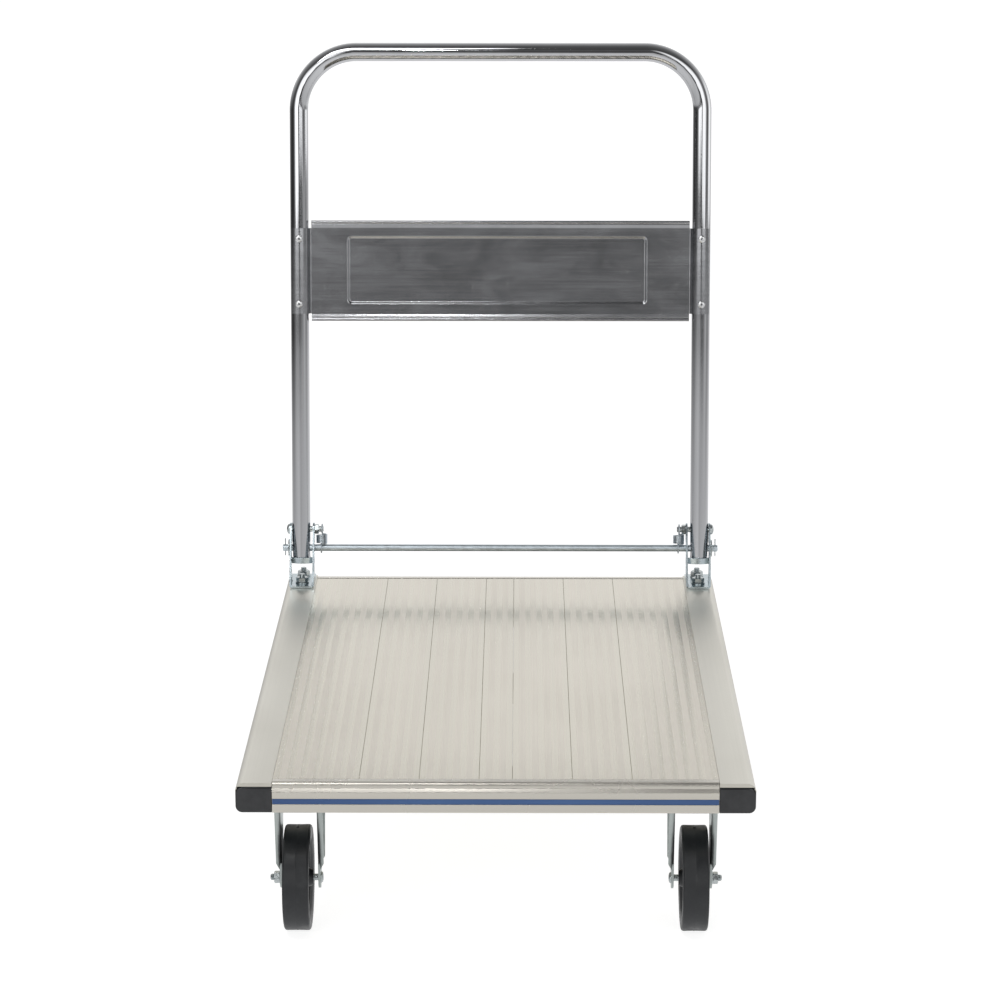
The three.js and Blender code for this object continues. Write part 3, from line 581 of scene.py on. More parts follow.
def build_rails():
    """Hollow rails. Their top wall runs out over the corner caps and follows their rounded outer corner."""
    wall, top_wall, notch, gap = 2.0, 4.5, 4.0, 0.3
    stripe = cad("front_stripe")
    for side, sign in SIDES.items():
        box = cad(f"side_rail_{side}")
        radii = [0.4, CAP_CORNER, RAIL_CORNER, 0.4] if sign > 0 else [CAP_CORNER, 0.4, 0.4, RAIL_CORNER]
        outside = box.x1 if sign > 0 else box.x0
        rail = prism(rounded(box.x0, box.z0, box.x1, box.z1, radii, 12), "y", box.y0, box.y1)
        hollow = block(box.x0 + wall, box.x1 - wall, box.y0 - 1, box.y1 + 1, box.z0 + wall, box.z1 - top_wall)
        cap = cad(f"corner_cap_front_{side}")
        cap_radii = [0.7, CAP_CORNER + gap, CAP_CORNER + gap, 0.7]
        cap_radii = cap_radii if sign > 0 else [cap_radii[i] for i in (1, 0, 3, 2)]
        around_cap = rounded(box.x0 - gap, box.z0 - gap, box.x1 + gap, cap.z1 + gap, cap_radii, 10)
        ends = [prism(around_cap, "y", y, y + notch + 1) for y in (box.y0 - 1, box.y1 - notch)]
        recess = block(outside - STRIPE_DEPTH, outside + STRIPE_DEPTH, box.y0 - 1, box.y1 + 1,
                       stripe.z0 - 0.3, stripe.z1 + 0.3)
        bolts = [cad(f"bracket_bolt_{place}_{side}") for place in ("front", "rear")]
        holes = [bar(4.4, "z", box.z1 - 8, box.z1 + 1, (bolt.x, bolt.y, 0), 0) for bolt in bolts]
        shape = carved(rail, cut=[hollow, *ends, recess, *holes])
        piece(f"side_rail_{side}_extrusion", shape, "frame_aluminium", "deck", f"side_rail_{side}", bevel=0.25)
        x0, x1 = sorted([outside - sign * 0.7, outside - sign * 0.3])
        strip = block(x0, x1, box.y0 + 5, box.y1 - 5, stripe.z0, stripe.z1)
        piece(f"side_stripe_{side}", strip, "stripe_blue", "deck", bevel=0.1)
        for end in ("front", "rear"):
            build_cap(end, side, sign)


def build_cap(end, side, sign):
    """Glossy plug-in cap with a rounded face and a spigot inside the rail."""
    node = f"corner_cap_{end}_{side}"
    box = cad(node)
    outward = -1 if end == "front" else 1
    face = box.y0 if end == "front" else box.y1
    flange, inset, edge, steps = 3.7, 3.0, 2.6, 7
    back = face - outward * flange

    def ring(shrink, y):
        """The cap's outline drawn in by shrink, except along its inner side, which stays square."""
        small, large = 0.6, max(CAP_CORNER - 0.6 * shrink, 1.0)
        radii = [small, large, large, small] if sign > 0 else [large, small, small, large]
        inner = 0.15 * shrink
        x0, x1 = (box.x0 + inner, box.x1 - shrink) if sign > 0 else (box.x0 + shrink, box.x1 - inner)
        return [(u, y, v) for u, v in rounded(x0, box.z0 + shrink, x1, box.z1 - shrink, radii, 12)]

    rings = [ring(0, back)]
    for i in range(steps + 1):
        turn = math.pi / 2 * i / steps
        rings.append(ring(edge * (1 - math.cos(turn)), face - outward * edge * (1 - math.sin(turn))))
    count = len(rings[0])
    verts = [point for loop in rings for point in loop]
    faces = [(r * count + i, r * count + (i + 1) % count, (r + 1) * count + (i + 1) % count, (r + 1) * count + i)
             for r in range(len(rings) - 1) for i in range(count)]
    faces += [tuple(range(count)), tuple(range((len(rings) - 1) * count, len(rings) * count))]
    y0, y1 = sorted([back + outward * 1.0, back - outward * 4.0])
    spigot = block(box.x0 + inset, box.x1 - inset, y0, y1, box.z0 + inset, box.z1 - 1)
    piece(node + "_moulding", carved((verts, faces), joined=[spigot]), "cap_plastic", "deck", node, angle=40)


def end_profile(lip, half_width):
    """The nose, bevel, stripe recess and ledge of an end profile, drawn from its outer face inwards."""
    rail, stripe, plank = cad("side_rail_left"), cad("front_stripe"), cad("deck_plank_1")
    top, bottom = rail.z1, rail.z0
    nose = 4.5
    ledge = plank.z0 - 0.3
    outline = [
        (lip, top), *arc(2.5 + nose, top - nose, nose, 90, 180, 10), (2.5, 194.9), (2.1, 194.2), (0.4, 191.3),
        (0, 190.5), (0, stripe.z1 + 0.3), (STRIPE_DEPTH, stripe.z1 + 0.3), (STRIPE_DEPTH, stripe.z0 - 0.3),
        (0, stripe.z0 - 0.3), (0, bottom + 1.5), (0.5, bottom + 0.5), (1.5, bottom), (20, bottom),
        (20, bottom + 2.5), (3.5, bottom + 2.5), (3.5, ledge - 3), (30, ledge - 3), (30, ledge),
        (5.7, ledge), (5.7, top - 3), (lip, top - 3),
    ]
    return prism(outline, "x", -half_width, half_width)


def build_end_profiles():
    front, rear = cad("front_profile"), cad("rear_profile")
    stripe = cad("front_stripe")
    lip_front = cad("deck_plank_1").y0 - 0.3
    lip_rear = rear.y1 - cad("deck_plank_1").y1 - 3.2
    piece("front_profile_extrusion", end_profile(lip_front, front.x1), "frame_aluminium", "deck",
          "front_profile", bevel=0.2, angle=25, look="profile_aluminium")
    turned_round = [(-x, rear.y1 - y, z) for x, y, z in end_profile(lip_rear, rear.x1)[0]]
    piece("rear_profile_extrusion", (turned_round, end_profile(lip_rear, rear.x1)[1]), "frame_aluminium",
          "deck", "rear_profile", bevel=0.2, angle=25, look="profile_aluminium")
    for name, y0, replaced in (("front", stripe.y0, "front_stripe"),
                               ("rear", rear.y1 - stripe.y1, ())):
        strip = block(stripe.x0, stripe.x1, y0, y0 + 0.4, stripe.z0, stripe.z1)
        piece(f"{name}_stripe_inlay", strip, "stripe_blue", "deck", replaced, bevel=0.1)


def build_cross_members():
    wall = 2.5
    for place in ("front", "middle", "rear"):
        node = f"cross_member_{place}"
        box = cad(node)
        lip = 3.0
        outline = [
            (box.y0, box.z0), (box.y0 + wall, box.z0), *arc(box.y0 + wall + 1, box.z1 - wall - 1, 1, 180, 90, 3),
            *arc(box.y1 - wall - 1, box.z1 - wall - 1, 1, 90, 0, 3), (box.y1 - wall, box.z0), (box.y1, box.z0),
            *arc(box.y1 - lip, box.z1 - lip, lip, 0, 90, 5), *arc(box.y0 + lip, box.z1 - lip, lip, 90, 180, 5),
        ]
        piece(node + "_channel", prism(outline, "x", box.x0, box.x1), "frame_aluminium", "deck", node, bevel=0.25)


# ------------------------------------------------------------------------------------------------ hinges
SHEET = 2.5
EAR_POST = 39.0  # pivot to the ear's front foot
EAR_BACK = 11.0
EAR_SHOULDER = 18.0
EAR_BOSS = 8.8


def u_section(centre, half, sheet, radius, low, high):
    """A U of bent sheet, open upwards, in (u, v)."""
    inner = radius - sheet
    left, right = centre - half, centre + half
    return [
        (left, high), *arc(left + radius, low + radius, radius, 180, 270, 6),
        *arc(right - radius, low + radius, radius, 270, 360, 6), (right, high), (right - sheet, high),
        *arc(right - radius, low + radius, inner, 360, 270, 6),
        *arc(left + radius, low + radius, inner, 270, 180, 6), (left + sheet, high),
    ]


def build_bracket(side):
    pivot = cad(f"pivot_bolt_{side}")
    box = cad(f"bracket_{side}")
    strap = cad(f"stop_strap_{side}")
    sheet_u = prism(u_section(box.x, (box.x1 - box.x0) / 2, SHEET, SHEET + 1.5, box.z0, box.z1 + 1), "y",
                    box.y0, box.y1)
    silhouette = [
        (box.y0, box.z0 - 1), (box.y1, box.z0 - 1), (box.y1, box.z0 + SHEET),
        *arc(pivot.y - EAR_BACK + 3, box.z0 + SHEET + 3, 3, 270, 180, 5),
        *arc(pivot.y - EAR_BACK + 3, pivot.z - EAR_SHOULDER - 3, 3, 180, 90, 4),
        (pivot.y + 3, pivot.z - EAR_SHOULDER),
        *arc(pivot.y, pivot.z, EAR_BOSS, -17, 144, 16),
        (pivot.y - EAR_POST, box.z0 + SHEET), (box.y0, box.z0 + SHEET),
    ]
    plan = rounded(box.x0 - 1, box.y0, box.x1 + 1, box.y1 + 1, [6, 6, 0.1, 0.1])
    bore = bar(4.4, "x", box.x0 - 2, box.x1 + 2, (0, pivot.y, pivot.z), 0)
    bolts = [bar(4.4, "z", box.z0 - 1, box.z0 + SHEET + 1, (box.x, cad(f"bracket_bolt_{p}_{side}").y, 0), 0)
             for p in ("front", "rear")]
    slot = stop_strap(strap, 0.3)
    shape = carved(sheet_u, cut=[bore, slot, *bolts],
                   inside=[prism(silhouette, "x", box.x0 - 1, box.x1 + 1), prism(plan, "z", box.z0 - 2, box.z1 + 2)])
    piece(f"bracket_{side}_pressing", shape, "zinc_plate", "deck", f"bracket_{side}", bevel=0.35)
    piece(f"stop_strap_{side}_band", stop_strap(strap, 0), "zinc_plate", "deck", f"stop_strap_{side}",
          bevel=0.5)


def stop_strap(box, clearance):
    radius = 30.0
    centre = box.y0 + radius + SHEET
    half_angle = math.degrees(math.asin(((box.x1 - box.x0) / 2 + clearance) / (radius + SHEET)))
    outline = [
        *arc(box.x, centre, radius + SHEET + clearance, 270 - half_angle, 270 + half_angle, 24),
        *arc(box.x, centre, radius - clearance, 270 + half_angle, 270 - half_angle, 24),
    ]
    return prism(outline, "z", box.z0 - clearance, box.z1 + clearance)


def build_bracket_bolts(side):
    """Bolts up through the rail, each with a washer and a hexagon nut on the bracket's plate."""
    for place in ("front", "rear"):
        node = f"bracket_bolt_{place}_{side}"
        box = cad(node)
        plate_top = cad(f"bracket_{side}").z0 + SHEET
        centre = (box.x, box.y, 0)
        washer_top = plate_top + 1.8
        shape = merged(
            washer(4.2, 9.4, "z", plate_top + 0.05, washer_top, centre),
            hexagon(7.5, "z", washer_top, washer_top + 6.5, centre, 4.0),
            threaded(4.0, "z", washer_top + 6, box.z1, centre),
            turned([(0, box.z0), (4, box.z0), (6, box.z0 + 1), (6, box.z0 + 3), (4, box.z0 + 3),
                    (4, washer_top), (0, washer_top)], "z", centre, 32),
        )
        piece(node + "_set", shape, "zinc_fastener", "deck", node)


def build_pivot_bolt(side, sign):
    """Domed head outside, nut on the inner ear and a plain end that carries the spring."""
    node = f"pivot_bolt_{side}"
    box = cad(node)
    bracket = cad(f"bracket_{side}")
    centre = (0, box.y, box.z)
    outer, inner = max(abs(bracket.x0), abs(bracket.x1)), min(abs(bracket.x0), abs(bracket.x1))
    tip = min(abs(box.x0), abs(box.x1))
    dome = [(7.2 * math.cos(a), outer + 0.1 + 1.2 + 3.6 * math.sin(a))
            for a in (math.pi / 2 * i / 8 for i in range(8))]
    head = [(0, outer + 0.1), (7.2, outer + 0.1), *dome, (0, outer + 4.9)]
    shank = [(0, tip), (3.4, tip), (4, tip + 0.6), (4, outer + 1), (0, outer + 1)]
    parts = [
        turned(head, "x", centre, 40), turned(shank, "x", centre, 32),
        hexagon(6.2, "x", inner - 5.8, inner - 0.1, centre, 3.9),
    ]
    shape = merged(*parts)
    piece(node + "_set", shape if sign > 0 else mirrored(shape), "zinc_fastener", "deck", node)


# ------------------------------------------------------------------------------------------------ handle
TUBE_RADIUS = 12.7
TUBE_WALL = 1.6
TUBE_BEND = 80.0


def tube_centre():
    return cad("handle_tube", HANDLE).x1 - TUBE_RADIUS


def handle_path():
    box = cad("handle_tube", HANDLE)
    centre = tube_centre()
    bend_x, bend_z = centre - TUBE_BEND, box.z1 - TUBE_RADIUS - TUBE_BEND
    steps = 32
    left = [(-bend_x + u, 0, bend_z + v) for u, v in arc(0, 0, TUBE_BEND, 180, 90, steps)]
    right = [(bend_x + u, 0, bend_z + v) for u, v in arc(0, 0, TUBE_BEND, 90, 0, steps)]
    legs = [box.z0 + (bend_z - box.z0) * i / 12 for i in range(12)]
    return ([(-centre, 0, z) for z in legs] + left
            + [(-bend_x + 2 * bend_x * i / 8, 0, bend_z + TUBE_BEND) for i in range(1, 8)] + right
            + [(centre, 0, z) for z in reversed(legs)])


def build_handle_tube():
    rod = cad("release_rod", HANDLE)
    tube = sweep(handle_path(), TUBE_RADIUS, 64, TUBE_RADIUS - TUBE_WALL)
    travel = JOINTS["rod_release"]["range_m"][1] / MM
    half = (rod.z1 - rod.z0) / 2 + 0.3
    cuts = []
    for sign in SIDES.values():
        centre = sign * tube_centre()
        outline = [*arc(0, rod.z, half, 0, 180, 10), *arc(0, rod.z - travel, half, 180, 360, 10)]
        cuts.append(prism(outline, "x", centre - 20, centre + 20))
        cuts.append(bar(4.6, "x", centre - 20, centre + 20, (0, 0, 0), 0))
    piece("handle_tube_chrome", carved(tube, cut=cuts), "chrome_tube", "handle", "handle_tube", HANDLE, angle=40)


PANEL_FRONT = -1.6
PANEL_SHEET = 1.2
HEM_ROLL = 2.2


def hem(z_flat, z_edge):
    """A hem's front in (y, z): a shallow ramp up from the sheet, a groove and a rolled edge."""
    out = 1 if z_edge > z_flat else -1
    crest = PANEL_FRONT - 1.2
    roll_y, roll_z = PANEL_FRONT - 1.6 + HEM_ROLL, z_edge - out * HEM_ROLL
    roll = [(roll_y + HEM_ROLL * math.cos(t), roll_z + out * HEM_ROLL * math.sin(t))
            for t in (math.radians(218 - i * 18) for i in range(15))]
    return [(PANEL_FRONT, z_flat), (PANEL_FRONT - 0.25, z_flat + out * 1.2), (crest, z_edge - out * 5.6),
            (crest + 0.1, z_edge - out * 5.2), (crest + 0.8, z_edge - out * 4.7), *roll]


def build_panel():
    """One sheet: hemmed along its long edges, with a pressed field, its ends wrapped round the tubes."""
    points = cad_points("handle_panel", HANDLE)
    whole = box_of(points)
    wraps = box_of([p for p in points if p.x > tube_centre()])
    hem_x = max(p.x for p in points if p.z < wraps.z0 - 1)
    rim = box_of([p for p in points if abs(p.y - PANEL_FRONT) < 0.05 and abs(p.x) < 0.9 * hem_x])
    verts, faces = [], []

    def point(x, y, z):
        verts.append((x, y, z))
        return len(verts) - 1

    def strip(rows):
        for a, b in zip(rows, rows[1:]):
            faces.extend((a[i], a[i + 1], b[i + 1], b[i]) for i in range(len(a) - 1))

    for z_flat, z_edge in ((wraps.z0, whole.z0), (wraps.z1, whole.z1)):
        strip([[point(x, y, z) for x in (-hem_x, hem_x)] for y, z in hem(z_flat, z_edge)])

    bevel, depth, steps = 4.5, 2.0, 8
    loops = []
    for i in range(steps + 1):
        share = i / steps
        inset = bevel * share
        sink = depth * share ** 2 * (3 - 2 * share)
        outline = rounded(rim.x0 + inset, rim.z0 + inset, rim.x1 - inset, rim.z1 - inset, 6.5 - inset, 6)
        loops.append([point(u, PANEL_FRONT + sink, v) for u, v in outline])
    strip([loop + loop[:1] for loop in loops])
    faces.append(tuple(loops[-1]))
    corners = [(-hem_x, wraps.z0), (hem_x, wraps.z0), (hem_x, wraps.z1), (-hem_x, wraps.z1)]
    ring = [point(u, PANEL_FRONT, v) for u, v in corners] + loops[0]
    flat = [[Vector((u, v, 0)) for u, v in corners], [Vector((verts[i][0], verts[i][2], 0)) for i in loops[0]]]
    faces.extend(tuple(ring[i] for i in triangle) for triangle in tessellate_polygon(flat))

    outer = TUBE_RADIUS + 0.3 + PANEL_SHEET
    last = 360 - math.degrees(math.acos((wraps.x1 - tube_centre()) / outer))
    for sign in SIDES.values():
        path = [(hem_x, PANEL_FRONT), (hem_x + 0.9, PANEL_FRONT - 0.1), (hem_x + 1.8, PANEL_FRONT - 0.7)]
        path += [(tube_centre() + u, v) for u, v in arc(0, 0, outer, 197, last, 24)]
        strip([[point(sign * x, y, z) for z in (wraps.z0, wraps.z1)] for x, y in path])
    panel = piece("handle_panel_sheet", (verts, faces), "panel_steel", "handle", "handle_panel", HANDLE, angle=50)
    solidify = panel.modifiers.new("sheet", "SOLIDIFY")
    solidify.thickness = PANEL_SHEET * MM
    toward = sum(f.normal.y * f.area for f in panel.data.polygons)
    solidify.offset = -1 if toward < 0 else 1
    panel.modifiers.new("flat_faces", "WEIGHTED_NORMAL").keep_sharp = True


def build_rivets(side, sign):
    for place in ("lower", "upper"):
        node = f"panel_rivet_{place}_{side}"
        box = cad(node, HANDLE)
        seat = box.y1 - 6
        dome = [(5 * math.cos(t), -1.0 - 1.7 * math.sin(t)) for t in (math.pi / 2 * i / 8 for i in range(1, 6))]
        profile = [(0, 6), (2, 6), (2, 0), (5, 0), (5, -0.9), *dome, (1.7, -2.55), (1.5, -2.3), (1.5, 1.0), (0, 1.0)]
        points = [(r, seat + h) for r, h in profile]
        shape = turned(points, "y", (box.x, 0, box.z), 40)
        piece(node + "_head", shape, "rivet_aluminium", "handle", node, HANDLE, angle=40)


# ------------------------------------------------------------------------------------------------ release rod
def build_release_rod():
    box = cad("release_rod", HANDLE)
    radius = (box.z1 - box.z0) / 2
    rod = bar(radius, "x", box.x0, box.x1, (0, 0, box.z), 0.8, 40)
    holes = [bar(1.5, "z", box.z - 8, box.z + 8, (sign * (box.x1 - 3.5), 0, 0), 0) for sign in SIDES.values()]
    piece("release_rod_bar", carved(rod, cut=holes), "rod_steel", "release_rod", "release_rod", HANDLE, angle=40)
    for side, sign in SIDES.items():
        node = f"rod_washer_{side}"
        ring = cad(node, HANDLE)
        shape = washer(radius + 0.2, 12.0, "x", ring.x0, ring.x1, (0, 0, box.z), 0.4)
        piece(node + "_disc", shape, "zinc_fastener", "release_rod", node, HANDLE)
        build_cotter_pin(side, sign, box)


def build_cotter_pin(side, sign, rod):
    """A split pin down through the rod's end: a loop on top, legs spread below."""
    x = sign * (rod.x1 - 3.5)
    wire = 0.65
    loop = [(x, 0.75 * math.sin(math.radians(a)) * 3.4, rod.z + 9.5 - 3.4 * math.cos(math.radians(a)))
            for a in range(20, 341, 20)]
    left = [(x, 0.7, rod.z + z) for z in (6, 2, -2, -6)] + [(x, 1.6, rod.z - 7.5), (x, 3.8, rod.z - 9)]
    right = [(x, -0.7, rod.z + z) for z in (6, 2, -2, -6)] + [(x, -1.4, rod.z - 8), (x, -2.4, rod.z - 11)]
    path = list(reversed(left)) + loop + right
    piece(f"cotter_pin_{side}", sweep(path, wire, 12), "zinc_fastener", "release_rod", (), HANDLE, angle=60)


def build_spring(side, sign):
    """Close-coiled extension spring between the pivot bolt's end and the rod."""
    node = f"return_spring_{side}"
    box = cad(node, HANDLE)
    rod = cad("release_rod", HANDLE)
    x = box.x
    wire = 0.95
    coil = 8.0 - wire
    top, bottom = -6.8, rod.z + 5.3
    turns, per_turn = 6.5, 20
    steps = int(turns * per_turn)
    path = [(x + coil * math.sin(2 * math.pi * i / per_turn), coil * math.cos(2 * math.pi * i / per_turn),
             top - wire + (bottom - top + 2 * wire) * i / steps) for i in range(steps + 1)]
    upper_eye = [(x + 0.6, 6.6 * math.sin(math.radians(a)), -6.6 * math.cos(math.radians(a)))
                 for a in range(-330, -29, 15)]
    lower_eye = [(x - 0.6, 6.9 * math.sin(math.radians(a)), rod.z - 6.9 * math.cos(math.radians(a)))
                 for a in range(210, 511, 15)]
    parts = [sweep(path, wire, 12), sweep(upper_eye, wire, 12), sweep(lower_eye, wire, 12)]
    spring = piece(node + "_coil", merged(*parts), "spring_steel", None, node, HANDLE, angle=60)
    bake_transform(spring)


# ------------------------------------------------------------------------------------------------ casters
FORK_SHEET = 2.75
FORK_FLANGE = 6.8
BOLT_HEAD = 3.3  # the axle bolt's head with its clearance
FORK_CENTRE = cad("caster_fork_front_right").x
FORK_INNER = 2 * (FORK_CENTRE - cad("axle_bolt_front_right").x0 - BOLT_HEAD - FORK_SHEET)


def fork_leg(x, outward, top_y, top_z, top_half, foot_y, foot_z):
    """One pressed leg: a plate with a flange bent outwards along each edge and a round foot at the axle."""
    flange_end, foot_half, foot_radius = foot_z + 18, 14.0, 12.5
    low, high = flange_end - 4, top_z

    def section(y, half):
        outline = u_section(y, half, FORK_SHEET, FORK_SHEET + 1.2, 0, FORK_FLANGE)
        return [(x + outward * depth, u) for u, depth in outline]

    slope_y = (top_y - foot_y) / (top_z - flange_end)
    slope_half = (top_half - foot_half) / (top_z - flange_end)
    channel = loft(section(foot_y + slope_y * (low - flange_end), foot_half + slope_half * (low - flange_end)), low,
                   section(top_y, top_half), high)
    corner = prism([
        (x + outward * FORK_SHEET, low - 1), (x + outward * FORK_SHEET, low),
        (x + outward * (FORK_FLANGE + 1), low + 10), (x + outward * (FORK_FLANGE + 1), low - 1),
    ], "y", foot_y - 60, foot_y + 60)
    foot = prism([
        (foot_y + foot_half + slope_half, flange_end + 4), (foot_y - foot_half - slope_half, flange_end + 4),
        (foot_y - foot_half, flange_end), *arc(foot_y, foot_z, foot_radius, 180, 360, 24),
        (foot_y + foot_half, flange_end),
    ], "x", *sorted([x, x + outward * FORK_SHEET]))
    return carved(channel, cut=[corner], joined=[foot])


def fork_shape(x, top_y, top_z, top_half, foot_y, foot_z):
    hole = bar(4.4, "x", x - 40, x + 40, (0, foot_y, foot_z), 0)
    legs = [fork_leg(x + side * FORK_INNER / 2, side, top_y, top_z, top_half, foot_y, foot_z) for side in (-1, 1)]
    return merged(*[carved(leg, cut=[hole]) for leg in legs])


def plate_shape(box, thickness=3.0):
    """Mounting plate with rounded corners and four slots."""
    inset = 12.0
    slots = [rounded(box.x + u * (44 - inset) - 6, box.y + v * (50 - inset) - 4.2,
                     box.x + u * (44 - inset) + 6, box.y + v * (50 - inset) + 4.2, 4.1, 6)
             for u in (-1, 1) for v in (-1, 1)]
    outline = rounded(box.x - 44, box.y - 50, box.x + 44, box.y + 50, 6)
    return prism(outline, "z", box.z1 - thickness, box.z1, [list(reversed(s)) for s in slots])


def build_plate_bolts(name, box, thickness=3.0):
    """Four bolts through the mounting plate, their low domed heads underneath."""
    bottom = box.z1 - thickness
    dome = [(0, bottom - 0.05), (6.8, bottom - 0.05), (6.6, bottom - 0.7), (5.2, bottom - 1.6), (2.8, bottom - 2.1),
            (0, bottom - 2.3)]
    heads = [turned(dome, "z", (box.x + u * 32, box.y + v * 38, 0), 28) for u in (-1, 1) for v in (-1, 1)]
    piece(name, merged(*heads), "zinc_fastener", "deck")


def build_wheel(place, side, sign, wheel_body, bolt_body):
    core, bolt = cad(f"wheel_core_{place}"), cad(f"axle_bolt_{place}")
    tyre = cad(f"tyre_{place}")
    centre = (tyre.x, (tyre.y0 + tyre.y1) / 2, cad(f"wheel_core_{place}").z)
    radius = centre[2]
    half = (tyre.x1 - tyre.x0) / 2
    seam = 0.35
    tread = [(radius - 3.2 + 3.2 * math.sin(a), half - 3.2 + 3.2 * math.cos(a))
             for a in (math.pi / 2 * i / 6 for i in range(7))]
    outline = [(44, half - 3.5), (47, half - 1.2), (49.5, half - 0.8), (53, half), (57.5, half), (58.2, half - 0.5),
               (58.9, half), *tread[1:], (radius - 0.25, 1.2), (radius - 0.1, seam), (radius, 0)]
    profile = outline + [(r, -h) for r, h in reversed(outline[:-1])]
    nub = bar(1.6, "z", radius - 2, radius + 0.9, centre, 0.6, 16)
    shape = merged(turned(profile, "x", centre, 128), nub)
    piece(f"tyre_{place}_tread", shape, "black_rubber", wheel_body, f"tyre_{place}", angle=45)

    hub = (core.x1 - core.x0) / 2
    side_profile = [(4.4, hub), (8.6, hub), (9.4, hub - 0.8), (12.5, 9.5), (14.5, 7.0), (16, 6), (32, 5),
                    (35, 6.5), (37.2, 11), (38.2, 12), (43.2, 12)]
    core_profile = side_profile + [(r, -h) for r, h in reversed(side_profile)]
    ribs = []
    rib_count = 10
    for i in range(rib_count):
        angle = 2 * math.pi * i / rib_count
        verts, faces = block(core.x - 10.5, core.x + 10.5, -1.1, 1.1, 12, 37.5)
        spun = [(x, y * math.cos(angle) - z * math.sin(angle) + centre[1],
                 y * math.sin(angle) + z * math.cos(angle) + centre[2]) for x, y, z in verts]
        ribs.append((spun, faces))
    disc = turned(core_profile, "x", (core.x, centre[1], centre[2]), 96)
    piece(f"wheel_core_{place}_moulding", carved(disc, joined=ribs), "core_plastic", wheel_body,
          f"wheel_core_{place}", bevel=0.4, angle=40)
    build_axle_bolt(place, sign, bolt, centre, bolt_body)


def build_axle_bolt(place, sign, box, centre, body):
    """Axle bolt: domed head at the inner leg, a sleeve through the hub and a nut outside."""
    low, high = min(abs(box.x0), abs(box.x1)), max(abs(box.x0), abs(box.x1))
    inner = FORK_CENTRE - FORK_INNER / 2 - FORK_SHEET
    outer = FORK_CENTRE + FORK_INNER / 2 + FORK_SHEET
    at = (0, centre[1], centre[2])
    head = [(0, inner - 3.2), *[(6.5 * math.sin(t), inner - 0.9 - 2.3 * math.cos(t))
                                for t in (math.pi / 2 * i / 6 for i in range(1, 7))],
            (6.5, inner - 0.1), (0, inner - 0.1)]
    parts = [
        turned(head, "x", at, 36),
        turned([(0, inner - 1), (4, inner - 1), (4, outer + 2), (0, outer + 2)], "x", at, 32),
        washer(4.2, 7.8, "x", outer + 0.05, outer + 1.3, at),
        hexagon(6.4, "x", outer + 1.3, outer + 7.4, at, 3.8),
        threaded(4.0, "x", outer + 7, high, at),
    ]
    shape = merged(*parts)
    piece(f"axle_bolt_{place}_set", shape if sign > 0 else mirrored(shape), "zinc_fastener", body,
          f"axle_bolt_{place}")


def build_rigid_caster(side, sign):
    node = f"caster_fork_front_{side}"
    box = cad(node)
    wheel = cad(f"wheel_core_front_{side}")
    bottom = box.z1 - 3.0
    fork = fork_shape(box.x, wheel.y, bottom + 0.3, 32.0, wheel.y, wheel.z)
    shape = merged(plate_shape(box), fork)
    piece(node + "_pressing", shape, "caster_zinc", "deck", node, bevel=0.4)
    build_plate_bolts(f"plate_bolts_front_{side}", box)
    build_wheel(f"front_{side}", side, sign, f"wheel_front_{side}", "deck")


def build_swivel_caster(side, sign):
    fork_node, plate_node, pin_node = f"caster_fork_rear_{side}", f"swivel_plate_{side}", f"king_pin_{side}"
    plate, pin, fork = cad(plate_node), cad(pin_node), cad(fork_node)
    wheel = cad(f"wheel_core_rear_{side}")
    swivel = (plate.x, plate.y, 0)
    plate_bottom = plate.z1 - 3.0
    race = turned([(6.4, plate.z0), (22, plate.z0), (24.5, plate.z0 + 0.6), (30, plate_bottom - 1.2),
                   (32.5, plate_bottom + 0.4), (6.4, plate_bottom + 0.4)], "z", swivel, 64)
    piece(plate_node + "_pressing", merged(plate_shape(plate), race), "caster_zinc", "deck", plate_node, bevel=0.3)
    build_plate_bolts(f"plate_bolts_rear_{side}", plate)

    head = pin.z0
    crown_top = fork.z1
    kingpin = merged(
        turned([(0, head), (9, head), (11, head + 1), (11, head + 3.4), (10.6, head + 4), (6, head + 4),
                (6, plate.z1 - 0.6), (0, plate.z1 - 0.6)], "z", swivel, 48),
        turned([(6, crown_top + 0.3), (20.5, crown_top + 0.3), (22, crown_top + 1.4), (22, plate.z0 - 1.2),
                (20.5, plate.z0 - 0.3), (6, plate.z0 - 0.3)], "z", swivel, 64),
    )
    piece(pin_node + "_set", kingpin, "zinc_fastener", "deck", pin_node, angle=40)

    crown_half = FORK_INNER / 2 + FORK_SHEET
    crown = carved(
        prism(rounded(plate.x - crown_half, plate.y - 26, plate.x + crown_half, plate.y + 26, 3), "z",
              crown_top - 3, crown_top),
        joined=[turned([(0, crown_top - 3), (28, crown_top - 3), (30, crown_top - 1.5), (28, crown_top),
                        (0, crown_top)], "z", swivel, 64)],
        cut=[bar(6.4, "z", crown_top - 5, crown_top + 2, swivel, 0)],
    )
    legs = fork_shape(plate.x, plate.y, crown_top - 0.4, 26.0, wheel.y, wheel.z)
    piece(fork_node + "_pressing", merged(crown, legs), "caster_zinc", f"swivel_fork_{side}", fork_node, bevel=0.4)
    build_wheel(f"rear_{side}", side, sign, f"wheel_rear_{side}", f"swivel_fork_{side}")


# ------------------------------------------------------------------------------------------------ studio
def build_floor():
    """Plain pale floor. Reflections pass it by and show the studio's own lower half."""
    mesh = bpy.data.meshes.new("floor")
    reach = 60.0
    mesh.from_pydata([(-reach, -reach, 0), (reach, -reach, 0), (reach, reach, 0), (-reach, reach, 0)], [],
                     [(0, 1, 2, 3)])
    surface = Surface("studio_floor", srgb(190, 190, 190), 0.9, Specular_IOR_Level=0.0,
                      Emission_Color=(1, 1, 1, 1), Emission_Strength=0.86)
    mesh.materials.append(surface.material)
    floor = bpy.data.objects.new("floor", mesh)
    floor.visible_glossy = False
    bpy.context.scene.collection.objects.link(floor)


